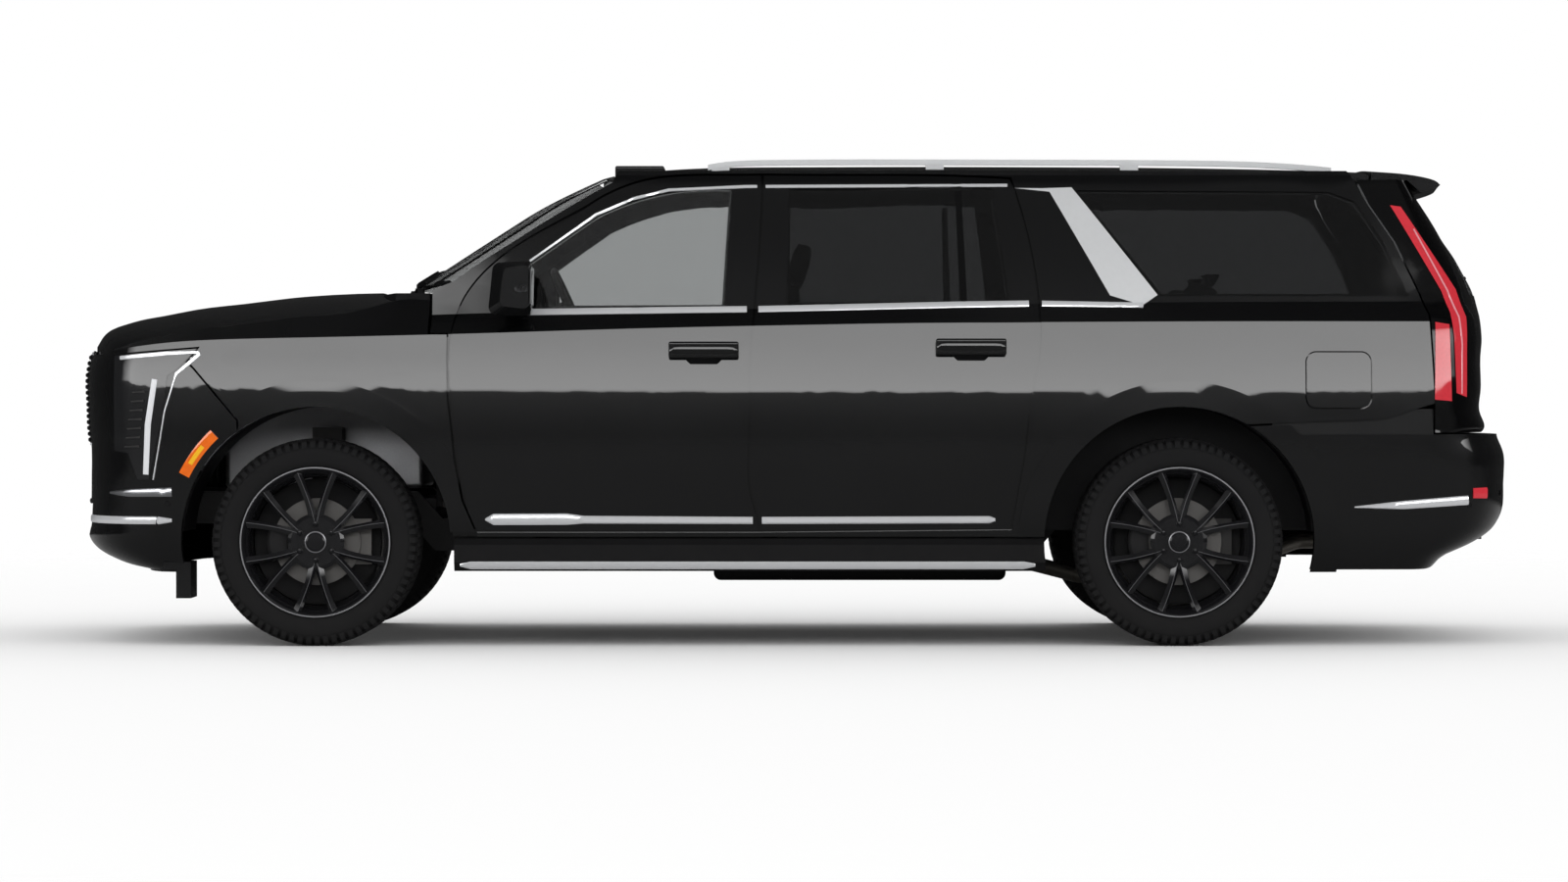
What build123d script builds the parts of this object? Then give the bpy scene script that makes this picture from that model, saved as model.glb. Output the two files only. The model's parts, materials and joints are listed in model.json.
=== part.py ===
from build123d import *
import math
import os

# Full-size sport utility vehicle. Millimetres. +X runs to the rear, +Y to the
# vehicle's right, +Z up; the origin lies on the ground under the middle.

# ---- driving dimensions -------------------------------------------------
FRONT_AXLE_X = -1893.0   # front hub, from the middle
REAR_AXLE_X = 1514.0     # rear hub
HUB_Z = 410.0            # hub height
TYRE_R = 410.0
TYRE_W = 278.0
SEAT_R = 281.0           # bead seat radius of the rim
RIM_W = 244.0
TRACK_Y = 872.0          # tyre centre from the middle
STEER_DEG = 30.0
KINGPIN_Y = 772.0
LINER_IN = 500.0         # inner edge of the front wheel housing
ARCH_R = 534.0           # wheel opening
FLARE_R = 636.0          # outer crease of the flare
FLARE_OUT = 5.0          # how far the flare stands out
FLARE_ROOT = 9.0         # how far it reaches into the wall
FLARE_FOOT_Z = 290.0
ROOF_SEAM = 1.2          # sealed seam between the roof and the body side
LINER_T = 5.0
DISC_R = 170.0

SHUT_GAP = 9.0           # between a door and its neighbours
LEAF_T = 9.0             # outer door panel
DOOR_T = 108.0           # door below the belt
FRAME_T = 44.0           # door frame above the belt
DOOR_INSET = 38.0        # inner box inside the outline of the leaf
SEAL_GAP = 18.0          # inner box to the aperture
SIDE_T = 100.0           # body side below the belt
PILLAR_T = 60.0          # body side above the belt
FENDER_T = 56.0
GLASS_T = 5.0
GLASS_LAP = 9.0          # glass behind the edge of its opening
FIT = 0.4                # seat clearance between separate pieces
STOP_GAP = 0.8           # rubber stop to the panel that rests on it
LAMP_GAP = 0.8           # lamp or grille to the bumper around it
DOOR_SWING = 65.0
HOOD_SWING = 50.0
GATE_SWING = 80.0

SILL_Z = 432.0           # underside of the body side
STEP_TOP = 425.0
STEP_BOTTOM = 296.0
STEP_FRONT_X = -1345.0
STEP_REAR_X = 985.0
ROOF_HALF = 701.0        # roof edge from the middle
ROOF_T = 44.0
ROOF_FRONT_X = -792.0
ROOF_REAR_X = 2295.0
ROOF_CROWN = 38.0
HOOD_HALF = 850.0        # hood edge from the middle
HOOD_T = 34.0
HOOD_GAP = 7.0
NOSE_T = 46.0
TAIL_T = 60.0
GATE_HALF = 782.0
GATE_TOP_HALF = 640.0
GATE_GAP = 8.0
TAIL_BACK = 620.0        # rear bumper's side, ahead of its corner
NOSE_BACK = 215.0
FUEL_GAP = 5.0
FUEL_T = 6.0
FUEL_POCKET = 46.0       # depth of the filler recess
PLATE_PITCH = 177.8      # registration plate hole spacing
PLATE_HOLE_R = 3.5
PLATE_Z = 1000.0          # rear plate holes
FRONT_PLATE_Z = 690.0
FRONT_PLATE_X = -2882.0  # face of the front plate holder
GRILLE_HALF = 585.0
GRILLE_BOTTOM = 785.0
GRILLE_TOP = 1168.0

FLOOR_Z = 560.0
FLOOR_T = 24.0
CARGO_Z = 760.0
RAIL_Y = 410.0           # chassis rail centre
RAIL_W = 76.0

os.makedirs("parts", exist_ok=True)


# ---- helpers -------------------------------------------------------------
def lerp(a, b, t):
    return a + (b - a) * t


def table(x, rows):
    """Smooth monotone interpolation through (x, value) rows."""
    if x <= rows[0][0]:
        return rows[0][1]
    if x >= rows[-1][0]:
        return rows[-1][1]
    n = len(rows)
    slope = [(rows[i + 1][1] - rows[i][1]) / (rows[i + 1][0] - rows[i][0]) for i in range(n - 1)]
    tan = [slope[0]] + [0.0] * (n - 2) + [slope[-1]]
    for i in range(1, n - 1):
        a, b = slope[i - 1], slope[i]
        tan[i] = 0.0 if a * b <= 0 else 2 * a * b / (a + b)
    for i in range(n - 1):
        x0, x1 = rows[i][0], rows[i + 1][0]
        if x <= x1:
            h = x1 - x0
            t = (x - x0) / h
            y0, y1 = rows[i][1], rows[i + 1][1]
            return (y0 * (1 + 2 * t) * (1 - t) ** 2 + h * tan[i] * t * (1 - t) ** 2
                    + y1 * t * t * (3 - 2 * t) + h * tan[i + 1] * t * t * (t - 1))
    return rows[-1][1]


def face_of(points, curved=()):
    """Face in plan coordinates; curved lists index pairs joined by a spline."""
    edges = []
    i, n = 0, len(points)
    spans = {a: b for a, b in curved}
    while i < n:
        j = spans.get(i, i + 1)
        run = [points[k % n] for k in range(i, j + 1)]
        edges.append(Line(run[0], run[-1]) if len(run) == 2 else Spline(*run))
        i = j
    return make_face(edges)


def grown(face, amount):
    """Offset outline rebuilt from lines, arcs and plain splines."""
    wire = offset(face, amount=amount).faces()[0].outer_wire()
    kept = [e for e in wire.order_edges() if e.length > 0.05]
    ends = [kept[i - 1] @ 1 for i in range(len(kept))] + [kept[-1] @ 1]
    edges = []
    for i, edge in enumerate(kept):
        p, q = ends[i], ends[i + 1]
        if edge.geom_type == GeomType.LINE:
            edges.append(Edge.make_line(p, q))
        elif edge.geom_type == GeomType.CIRCLE:
            edges.append(Edge.make_three_point_arc(p, edge @ 0.5, q))
        else:
            inner = [edge @ (k / 12) for k in range(1, 12)]
            edges.append(Edge.make_spline([p] + inner + [q], tangents=[edge % 0, edge % 1]))
    return make_face(edges)


def side_prism(face, y0, y1):
    """Extrude an XZ outline from y0 to y1."""
    flat = Plane.XZ.offset(-y0) * face
    return extrude(flat, amount=-(y1 - y0))


def front_prism(face, x0, x1):
    """Extrude a YZ outline from x0 to x1."""
    return extrude(Plane.YZ.offset(x0) * face, amount=x1 - x0)


def top_prism(face, z0, z1):
    return extrude(Plane.XY.offset(z0) * face, amount=z1 - z0)


def box(x0, x1, y0, y1, z0, z1):
    return Pos((x0 + x1) / 2, (y0 + y1) / 2, (z0 + z1) / 2) * Box(x1 - x0, y1 - y0, z1 - z0)


def soft_box(x0, x1, y0, y1, z0, z1, r):
    body = box(x0, x1, y0, y1, z0, z1)
    return fillet(body.edges(), r)


def tube_y(x, z, r, y0, y1):
    return Pos(x, (y0 + y1) / 2, z) * Rot(90, 0, 0) * Cylinder(r, abs(y1 - y0))


def rod(p, q, r):
    """Round bar from p to q."""
    p, q = Vector(*p), Vector(*q)
    d = q - p
    return Plane(origin=p, z_dir=d) * Cylinder(r, d.length, align=(Align.CENTER, Align.CENTER, Align.MIN))


def pipe(points, r, bend):
    path = FilletPolyline(*points, radius=[bend] * (len(points) - 2))
    start = path.edges()[0]
    ring = Plane(origin=start @ 0, z_dir=start % 0) * Circle(r)
    return sweep(ring, path=path)


def both(shape):
    return [shape, mirror(shape, about=Plane.XZ)]


def flipped(shape):
    return mirror(shape, about=Plane.XZ)


def solids_of(items):
    out = []
    for item in items if isinstance(items, (list, tuple)) else [items]:
        out.extend(item.solids())
    return out


NODES = {}


def node(name, items):
    parts = solids_of(items)
    if not parts:
        raise ValueError(f"{name} is empty")
    NODES[name] = parts
    export_step(Compound(children=parts) if len(parts) > 1 else parts[0], f"parts/{name}.step")


# ---- body surface --------------------------------------------------------
NOSE_X = [(280, -2580), (329, -2759), (378, -2849), (427, -2880), (476, -2872), (769, -2868),
          (860, -2876), (964, -2880), (1013, -2883), (1062, -2883), (1111, -2877), (1188, -2852)]
TAIL_X = [(300, 2560), (355, 2640), (378, 2700), (427, 2800), (476, 2849), (525, 2873), (574, 2880),
          (671, 2881), (740, 2882), (783, 2870), (835, 2850)]
GATE_X = [(800, 2776), (915, 2780), (1160, 2783), (1208, 2788), (1306, 2781), (1355, 2772), (1404, 2759),
          (1453, 2735), (1501, 2707), (1550, 2678), (1599, 2641), (1648, 2609), (1697, 2576),
          (1746, 2540), (1800, 2500), (1850, 2462)]
CORNER_F, CORNER_R = -2400.0, 2380.0
NOSE_N, TAIL_N = 3.0, 3.4
LOW_W = [(280, 948), (330, 972), (432, 997), (520, 1005), (600, 1012), (750, 1024), (900, 1030),
         (1000, 1028), (1100, 1021), (1180, 1011), (1260, 1001), (1300, 995)]
PLAN_LOW = [(-2400, 0.958), (-2200, 0.973), (-1893, 0.988), (-1500, 0.997), (-1000, 1.0), (1200, 1.0),
            (1600, 0.996), (2000, 0.984), (2380, 0.964)]
PLAN_HIGH = [(-1700, 0.905), (-1300, 0.935), (-1000, 0.962), (-600, 0.985), (0, 1.0), (1100, 1.0),
             (1600, 0.985), (2000, 0.965), (2380, 0.94)]
CREASE_Z = [(-2710, 1166), (-2557, 1188), (-2400, 1203), (-2200, 1211), (-1818, 1219), (-1357, 1230),
            (-429, 1257), (652, 1275), (2042, 1281), (2486, 1281)]
BELT_Z = [(-1700, 1300), (-1127, 1317), (-430, 1326), (655, 1347), (963, 1351), (1600, 1358), (2500, 1362)]
HIGH_W = [(0.0, 944), (0.35, 893), (0.65, 841), (0.85, 799), (0.945, 770), (1.0, 745)]
GUTTER_Z = 1868.0        # top of the body side glass line
ROOF_EDGE_Z = 1888.0
HOOD_C = [(-2862, 1165), (-2846, 1196), (-2816, 1245), (-2784, 1269), (-2751, 1282), (-2686, 1302),
          (-2621, 1314), (-2523, 1335), (-2426, 1351), (-2283, 1367), (-2202, 1379), (-2039, 1396),
          (-1876, 1408), (-1795, 1412), (-1580, 1414)]
HOOD_CROWN = [(-2846, 36), (-2750, 58), (-2557, 84), (-2145, 90), (-1833, 92), (-1654, 68), (-1580, 44)]
WIND_C = [(1425, -1569), (1485, -1469), (1542, -1388), (1591, -1306), (1644, -1225), (1693, -1144),
          (1746, -1062), (1790, -981), (1827, -899), (1860, -829), (1872, -802)]
WIND_SAG = 112.0
ROOF_C = [(-792, 1872), (-700, 1896), (-560, 1915), (-400, 1924), (300, 1931), (1200, 1929),
          (1900, 1920), (2295, 1908)]


def corner_factor(x, z, tail):
    if x < CORNER_F:
        a = CORNER_F - table(z, NOSE_X)
        t = min((CORNER_F - x) / a, 0.985)
        return (1 - t ** NOSE_N) ** (1 / NOSE_N)
    if x > CORNER_R:
        a = table(z, tail) - CORNER_R
        t = min((x - CORNER_R) / a, 0.985)
        return (1 - t ** TAIL_N) ** (1 / TAIL_N)
    return 1.0


def w_low(x, z, tail=GATE_X):
    return table(z, LOW_W) * table(x, PLAN_LOW) * corner_factor(x, z, tail)


def high_z(x, t):
    return lerp(table(x, BELT_Z), GUTTER_Z, t)


def w_high(x, t):
    plan = lerp(table(x, PLAN_HIGH), 1.0, max(0.0, t) ** 1.5)
    return table(t, HIGH_W) * plan * corner_factor(x, high_z(x, t), GATE_X) ** (1 - t * 0.5)


def w_side(x, z):
    """Half width of the body side at station x and height z."""
    c, b = table(x, CREASE_Z), table(x, BELT_Z)
    if z <= c:
        return w_low(x, z)
    if z <= b:
        return lerp(w_low(x, c), w_high(x, 0), (z - c) / (b - c))
    return w_high(x, min(1.0, (z - b) / (GUTTER_Z - b)))


def hood_edge_z(x):
    return table(x - 140, HOOD_C) - table(x, HOOD_CROWN)


def mean_knots(sections, k):
    """Chord-length values of run k, averaged over the sections, so that all share one set of knots."""
    total = [0.0] * len(sections[0][k])
    for runs in sections:
        pts = [Vector(*q) for q in runs[k]]
        far = [0.0]
        for a, b in zip(pts, pts[1:]):
            far.append(far[-1] + (b - a).length)
        total = [t + d / far[-1] for t, d in zip(total, far)]
    return [t / len(sections) for t in total]


def loft_rings(sections, ruled=False):
    """Solid through closed sections; each section is a list of runs, a run of two points is a line."""
    knots = {k: mean_knots(sections, k) for k, run in enumerate(sections[0]) if len(run) > 2}
    wires = []
    for runs in sections:
        edges = [Edge.make_line(Vector(*p[0]), Vector(*p[-1])) if len(p) == 2 else
                 Edge.make_spline([Vector(*q) for q in p], parameters=knots[k])
                 for k, p in enumerate(runs)]
        wires.append(Wire(edges))
    return Solid.make_loft(wires, ruled)


LOW_T = (0.0, 0.16, 0.34, 0.52, 0.68, 0.84, 1.0)


def low_run(x, z0, z1, inset):
    return [(x, -(w_low(x, lerp(z0, z1, t)) - inset), lerp(z0, z1, t)) for t in LOW_T]


def side_skin(stations, o, low_t, high_t, z0=SILL_Z):
    """Left wall from the sill to the roof edge: o is the depth of its outer face."""
    sections = []
    for x in stations:
        c = table(x, CREASE_Z)
        out_low = low_run(x, z0, c, o)
        in_low = low_run(x, z0, c, low_t)
        ts = [r[0] for r in HIGH_W]
        out_high = [(x, -(w_high(x, t) - o), high_z(x, t)) for t in ts]
        in_high = [(x, -(w_high(x, t) - high_t), high_z(x, t)) for t in ts]
        edge = (x, -(ROOF_HALF), ROOF_EDGE_Z - o * 0.6)
        edge_in = (x, -(ROOF_HALF), ROOF_EDGE_Z - max(high_t * 0.75, o * 0.6 + 4))
        in_high = in_high[:-1] + [(x, -(w_high(x, 1.0) - min(high_t, 40)), GUTTER_Z - high_t * 0.75)]
        sections.append([out_low, [out_low[-1], out_high[0]], out_high, [out_high[-1], edge],
                           [edge, edge_in], [edge_in, in_high[-1]], in_high[::-1],
                           [in_high[0], in_low[-1]], in_low[::-1], [in_low[0], out_low[0]]])
    return loft_rings(sections)


def fender_skin(stations, o, t, z_split):
    """Fender wall with its inward run up to the hood gap."""
    sections = []
    gutter = HOOD_HALF + HOOD_GAP / 2
    for x in stations:
        c, z0 = table(x, CREASE_Z), table(x, FENDER_FOOT_Z)
        thick = min(t, w_low(x, c) - gutter - 2)
        out_up, in_up = low_run(x, z_split, c, o), low_run(x, z_split, c, thick)
        out_low, in_low = low_run(x, z0, z_split, o), low_run(x, z0, z_split, thick)
        top = (x, -gutter, max(hood_edge_z(x), c + 8) - o)
        top_in = (x, -gutter, max(top[2] + o - t, c + 2))
        sections.append([out_low, out_up, [out_up[-1], top], [top, top_in], [top_in, in_up[-1]],
                           in_up[::-1], in_low[::-1], [in_low[0], out_low[0]]])
    return loft_rings(sections)


def plan_half(z, rows, xs, w_at_xs, n, back, count, inset):
    """Points from the side round one corner to the middle at height z."""
    x0 = table(z, rows)
    a = abs(x0 - xs) - inset
    w = w_at_xs - inset
    sign = 1 if x0 > xs else -1
    runs = (1.0, 0.66, 0.33) if back > 300 else (1.0, 0.5)
    pts = [(xs - sign * back * k, w_low(xs - sign * back * k, z, rows) - inset) for k in runs]
    for i in range(count + 1):
        ang = math.pi / 2 * i / count
        s, c = math.sin(ang), math.cos(ang)
        pts.append((xs + sign * a * s ** (2 / n), w * c ** (2 / n)))
    return pts


def end_skin(rows, zs, xs, n, back, t, width):
    """Wrapped end panel, full width: stacked plan bands."""
    sections = []
    for z in zs:
        run = []
        for inset in (0.0, t):
            half = plan_half(z, rows, xs, width(z), n, back, 9, inset)
            pts = [(x, -y, z) for x, y in half] + [(x, y, z) for x, y in half[-2::-1]]
            run.append(pts)
        outer, inner = run
        sections.append([outer, [outer[-1], inner[-1]], inner[::-1], [inner[0], outer[0]]])
    return loft_rings(sections)


def sheet_y(profile, ys, t_dir):
    """Sheet lofted across the vehicle; profile(y) gives its upper edge."""
    dx, dz = t_dir
    sections = []
    for y in ys:
        top = [(x, y, z) for x, z in profile(y)]
        low = [(x + dx, y, z + dz) for x, z in profile(y)]
        sections.append([top, [top[-1], low[-1]], low[::-1], [low[0], top[0]]])
    return loft_rings(sections)


def arch_cut(x, r=ARCH_R):
    return tube_y(x, HUB_Z, r, -1300, 1300)


# ---- doors: outlines on the centre line of the shut gap ----------------------
FRONT_CUT = [(-1253, 452), (-1303, 574), (-1332, 725), (-1357, 976), (-1361, 1143), (-1355, 1248),
             (-1306, 1390), (-1208, 1487)]
FRONT_TOP = [(-822, 1746), (-715, 1808), (-600, 1848), (-480, 1866), (-131, 1872)]
MID_CUT = [(-131, 1872), (-131, 1812), (-160, 1350), (-178, 1070), (-184, 780), (-175, 600),
           (-152, 520), (-144, 452)]
REAR_TOP = [(-131, 1872), (400, 1870), (700, 1864), (858, 1855)]
REAR_CUT = [(858, 1855), (884, 1770), (961, 1363), (965, 1276), (957, 1134), (942, 1063), (902, 762),
            (880, 637), (850, 462)]

front_outline = make_face([Spline(*FRONT_CUT), Line(FRONT_CUT[-1], FRONT_TOP[0]), Spline(*FRONT_TOP),
                           Spline(*MID_CUT), Line(MID_CUT[-1], FRONT_CUT[0])])
rear_outline = make_face([Spline(*MID_CUT[::-1]), Spline(*REAR_TOP), Spline(*REAR_CUT),
                          Line(REAR_CUT[-1], MID_CUT[-1])])
front_window = face_of([(-1090, 1343), (-1050, 1508), (-792, 1690), (-644, 1754), (-505, 1789),
                        (-262, 1803), (-290, 1346)], curved=[(2, 5)])
rear_window = face_of([(-26, 1355), (-18, 1803), (400, 1807), (700, 1808), (776, 1803), (836, 1364)],
                      curved=[(1, 4)])
quarter_window = face_of([(1128, 1796), (2120, 1790), (2222, 1752), (2330, 1590), (2420, 1391),
                          (1446, 1391)])

BODY_X = (-1700, -1500, -1300, -1000, -600, 0, 600, 1100, 1600, 2000, 2200, 2380, 2450, 2535)
DOOR_X = (-1400, -1200, -1000, -600, -200, 200, 600, 1000)
FENDER_X = (-2715, -2660, -2600, -2540, -2480, -2400, -2300, -2200, -2050, -1893, -1740, -1600, -1500,
            -1420, -1330)
FENDER_FOOT_Z = [(-2715, 1000), (-2400, 1000), (-2200, 800), (-1893, 800), (-1600, 740), (-1480, 560),
                 (-1400, 430), (-1330, 430)]
FENDER_SPLIT_Z = 1080.0

door_shell = {}


def door(name, outline, window, window_glass=True):
    leaf_face = grown(outline, -SHUT_GAP / 2)
    inner_face = grown(outline, -SHUT_GAP / 2 - DOOR_INSET)
    leaf = side_prism(leaf_face, -300, -1200) & side_skin(DOOR_X, 0, LEAF_T, LEAF_T)
    core = side_prism(inner_face, -300, -1200) & side_skin(DOOR_X, LEAF_T - 1, DOOR_T, FRAME_T)
    body = leaf + core
    body -= side_prism(window, -300, -1200)
    pocket = grown(window, GLASS_LAP + FIT)
    body -= side_prism(pocket, -300, -1200) & side_skin(DOOR_X, -5, 3 + GLASS_T + FIT, 3 + GLASS_T + FIT)
    glass = side_prism(grown(window, GLASS_LAP), -300, -1200) & side_skin(
        DOOR_X, 3, 3 + GLASS_T, 3 + GLASS_T)
    return body, glass


def handle(x0, x1, z0, z1):
    """Pull handle on two feet."""
    x, z = (x0 + x1) / 2, (z0 + z1) / 2
    y = -w_side(x, z)
    bar = soft_box(x0, x1, y - 44, y - 24, z0, z1, 9)
    feet = [box(x0 + 12, x0 + 52, y - 30, y + 6, z0 + 14, z1 - 14),
            box(x1 - 60, x1 - 12, y - 30, y + 6, z0 + 14, z1 - 14)]
    return bar + feet[0] + feet[1]


front_door, front_glass = door("front", front_outline, front_window)
rear_door, rear_glass = door("rear", rear_outline, rear_window)
front_door += handle(-499, -223, 1134, 1200)
rear_door += handle(552, 830, 1146, 1212)

for side, name in enumerate(("left", "right")):
    flip = (lambda s: s) if side == 0 else flipped
    node(f"door_front_{name}", flip(front_door))
    node(f"door_rear_{name}", flip(rear_door))
    node(f"glass_front_{name}", flip(front_glass))
    node(f"glass_rear_{name}", flip(rear_glass))

# mirrors ride on the front doors
MIRROR_X0, MIRROR_X1 = -1212.0, -1030.0
mirror_y = w_side(-1080, 1360)


def round_ring(points, r, y):
    """Rounded XZ outline at one y, as a wire."""
    flat = make_face(Polyline(*points, close=True))
    flat = fillet(flat.vertices(), r)
    return (Plane.XZ.offset(-y) * flat).faces()[0].outer_wire()


shell_m = Solid.make_loft([
    round_ring([(-1170, 1330), (-1040, 1322), (-1036, 1492), (-1150, 1480)], 26, -(mirror_y + 58)),
    round_ring([(-1206, 1304), (-1034, 1300), (-1030, 1516), (-1185, 1508)], 32, -(mirror_y + 84)),
    round_ring([(-1206, 1304), (-1034, 1300), (-1030, 1516), (-1185, 1508)], 32, -(mirror_y + 210)),
    round_ring([(-1160, 1336), (-1038, 1326), (-1036, 1500), (-1140, 1486)], 26, -(mirror_y + 262))],
    ruled=True)
foot = box(-1150, -1062, -(mirror_y + 80), -(w_side(-1100, 1355) - 4), 1334, 1372)
mirror_left = shell_m + foot - front_door - front_glass
node("mirror_left", mirror_left)
node("mirror_right", flipped(mirror_left))

# ---- body sides -------------------------------------------------------------
side_outline = face_of([(-1256, SILL_Z - 1), (-1257, 452), (-1308, 574), (-1337, 725), (-1364, 976),
                        (-1367, 1234), (-1440, 1235), (-1440, 1408),
                        (-1360, 1440), (-1290, 1490), (-1208, 1545), (-1120, 1600), (-1040, 1652),
                        (-960, 1702), (-878, 1752), (-800, 1798), (-728, 1838), (-700, 1905),
                        (2196, 1905), (2276, 1750), (2375, 1600), (2470, 1394), (2502, 1307),
                        (2514, 1093), (2521, 958), (2323, 896), (2000, 884), (1770, 874), (1700, SILL_Z - 1)])
body_side = side_prism(side_outline, -300, -1200) & side_skin(BODY_X, 0, SIDE_T, PILLAR_T)
body_side -= box(-1500, 2600, -(ROOF_HALF + ROOF_SEAM), -500, 1600, 1960)
hinge_post = side_prism(face_of([(-1250, SILL_Z), (-1250, 1229), (-1425, 1229), (-1425, SILL_Z)]), -300, -1200)
body_side += hinge_post & side_skin(BODY_X, FENDER_T + 2, SIDE_T, PILLAR_T)
for outline in (front_outline, rear_outline):
    rebate = side_prism(grown(outline, SHUT_GAP / 2), -300, -1200)
    body_side -= rebate & side_skin(DOOR_X, -30, LEAF_T + 6, LEAF_T + 6)
    aperture = grown(outline, -(SHUT_GAP / 2 + DOOR_INSET - SEAL_GAP))
    body_side -= side_prism(aperture, -300, -1200)
body_side -= side_prism(quarter_window, -300, -1200)
body_side -= side_prism(grown(quarter_window, GLASS_LAP + FIT), -300, -1200) & side_skin(
    BODY_X, -5, 3 + GLASS_T + FIT, 3 + GLASS_T + FIT)
REAR_FLARE_X = (820, 1000, 1200, 1400, 1600, 1800, 2000, 2200)
rear_flare = arch_cut(REAR_AXLE_X, FLARE_R) & side_skin(
    REAR_FLARE_X, -FLARE_OUT, FLARE_ROOT, FLARE_ROOT, FLARE_FOOT_Z)
body_side += rear_flare & side_prism(side_outline, -300, -1200)
body_side -= arch_cut(REAR_AXLE_X)
body_side -= arch_cut(FRONT_AXLE_X, ARCH_R + LINER_T + 2 * FIT)


def door_stop(x0, x1, z0=880.0, z1=920.0):
    """Rubber stop in the door opening, behind the edge of the leaf."""
    y = min(w_side(x, z) for x in (x0, x1) for z in (z0, z1)) - LEAF_T - STOP_GAP
    return box(x0, x1, -y, -y + 12, z0, z1)


for x0 in (-1343, -204, -176, 898):
    body_side += door_stop(x0, x0 + 14)
fuel_outline = fillet(face_of([(2014, 940), (2268, 940), (2268, 1158), (2014, 1158)]).vertices(), 38)
fuel_cut = side_prism(grown(fuel_outline, FUEL_GAP), -300, -1200) & side_skin(
    BODY_X, -30, FUEL_POCKET, FUEL_POCKET)
fuel_door = side_prism(fuel_outline, -300, -1200) & side_skin(BODY_X, 0, FUEL_T, FUEL_T)
filler_y = w_side(2140, 1050) - FUEL_POCKET
filler = tube_y(2140, 1050, 42, -filler_y + 14, -filler_y - 24)
stop_y = min(w_side(x, z) for x in (2236, 2256) for z in (1020, 1080)) - FUEL_T - STOP_GAP
fuel_stop = box(2236, 2256, -stop_y, -(w_side(2256, 1080) - FUEL_POCKET) + 12, 1020, 1080)
body_left = body_side - fuel_cut + filler + fuel_stop
node("body_sides", [body_left, flipped(body_side)])
node("fuel_door", fuel_door)
quarter_glass = side_prism(grown(quarter_window, GLASS_LAP), -300, -1200) & side_skin(
    BODY_X, 3, 3 + GLASS_T, 3 + GLASS_T)
node("quarter_glass", both(quarter_glass))

# ---- fenders ---------------------------------------------------------------
fender_outline = face_of([(-1372, 976), (-1376, 1143), (-1374, 1228), (-1450, 1228), (-1450, 1420),
                          (-2700, 1420), (-2712, 1152), (-2350, 1181), (-2394, 1122), (-2371, 1097),
                          (-2194, 890), (-2194, 500), (-1353, 450), (-1262, 450), (-1316, 574),
                          (-1345, 725)])
fender = side_prism(fender_outline, -300, -1200) & fender_skin(FENDER_X, 0, FENDER_T, FENDER_SPLIT_Z)
FRONT_FLARE_X = (-2560, -2480, -2400, -2300, -2200, -2050, -1893, -1740, -1600, -1480, -1380, -1240)
front_flare = arch_cut(FRONT_AXLE_X, FLARE_R) & side_skin(
    FRONT_FLARE_X, -FLARE_OUT, FLARE_ROOT, FLARE_ROOT, FLARE_FOOT_Z)
fender_flare = front_flare & side_prism(fender_outline, -300, -1200)
fender += fender_flare
fender -= arch_cut(FRONT_AXLE_X)
node("front_fenders", both(fender))


def nose_width(z):
    return w_low(CORNER_F, z)


# ---- hood ------------------------------------------------------------------
HOOD_YS = (-846, -800, -700, -500, -250, 0, 250, 500, 700, 800, 846)


def nose_shift(y):
    w, a = nose_width(1100), CORNER_F - table(1100, NOSE_X)
    return a * (1 - (1 - (abs(y) / w) ** NOSE_N) ** (1 / NOSE_N))


def hood_rear_x(y):
    return -1700 + 106 * (abs(y) / HOOD_HALF) ** 2.2


def hood_profile(y):
    x0, x1 = -2846 + nose_shift(y), hood_rear_x(y)
    pts = []
    for t in (0, 0.012, 0.028, 0.05, 0.085, 0.14, 0.22, 0.34, 0.5, 0.66, 0.82, 1.0):
        x = lerp(x0, x1, t)
        z = table(x - nose_shift(y), HOOD_C) - table(x, HOOD_CROWN) * (abs(y) / HOOD_HALF) ** 2.2
        pts.append((x, z))
    return pts


hood = sheet_y(hood_profile, HOOD_YS, (0, -HOOD_T))
node("hood", hood)


def hood_space_profile(y):
    """Lower edge of the space that the closed hood and its nose need."""
    return [(x - HOOD_GAP, z + 90) for x, z in hood_profile(y)]


hood_space = sheet_y(hood_space_profile, (-860,) + HOOD_YS[1:-1] + (860,), (0, -HOOD_T - 114))


# ---- front end ---------------------------------------------------------------
NOSE_Z = (290, 310, 329, 353, 378, 402, 427, 476, 548, 620, 695, 769, 815, 860, 912, 964, 1013, 1062, 1111,
          1150, 1182)

nose = end_skin(NOSE_X, NOSE_Z, CORNER_F, NOSE_N, NOSE_BACK, NOSE_T, nose_width)
fascia_outline = face_of([(-3000, 270), (-2202, 270), (-2202, 888), (-2379, 1094), (-2408, 1120),
                          (-2366, 1166), (-2712, 1144), (-3000, 1172)])
nose &= side_prism(fascia_outline, -1200, 1200)
nose -= arch_cut(FRONT_AXLE_X)
lamp_face = face_of([(-2700, 1146), (-2362, 1173), (-2440, 1091), (-2478, 1066), (-2500, 900),
                     (-2553, 657), (-2600, 655), (-2640, 760), (-2700, 770)])
lamp_cut = side_prism(grown(lamp_face, LAMP_GAP), -1200, 1200)
lamp = side_prism(lamp_face, -1200, 1200) & end_skin(
    NOSE_X, NOSE_Z, CORNER_F, NOSE_N, NOSE_BACK, NOSE_T - 4, nose_width)
grille_face = face_of([(-GRILLE_HALF, GRILLE_TOP), (-GRILLE_HALF + 40, GRILLE_BOTTOM),
                       (GRILLE_HALF - 40, GRILLE_BOTTOM), (GRILLE_HALF, GRILLE_TOP)])
grille_hole = front_prism(grown(grille_face, LAMP_GAP), -3000, -2500)
intake_face = face_of([(-620, 560), (-560, 430), (560, 430), (620, 560)])
nose_flare = front_flare & side_prism(fascia_outline, -300, -1200)
nose_flare -= arch_cut(FRONT_AXLE_X)
nose += nose_flare
nose += flipped(nose_flare)
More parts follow.
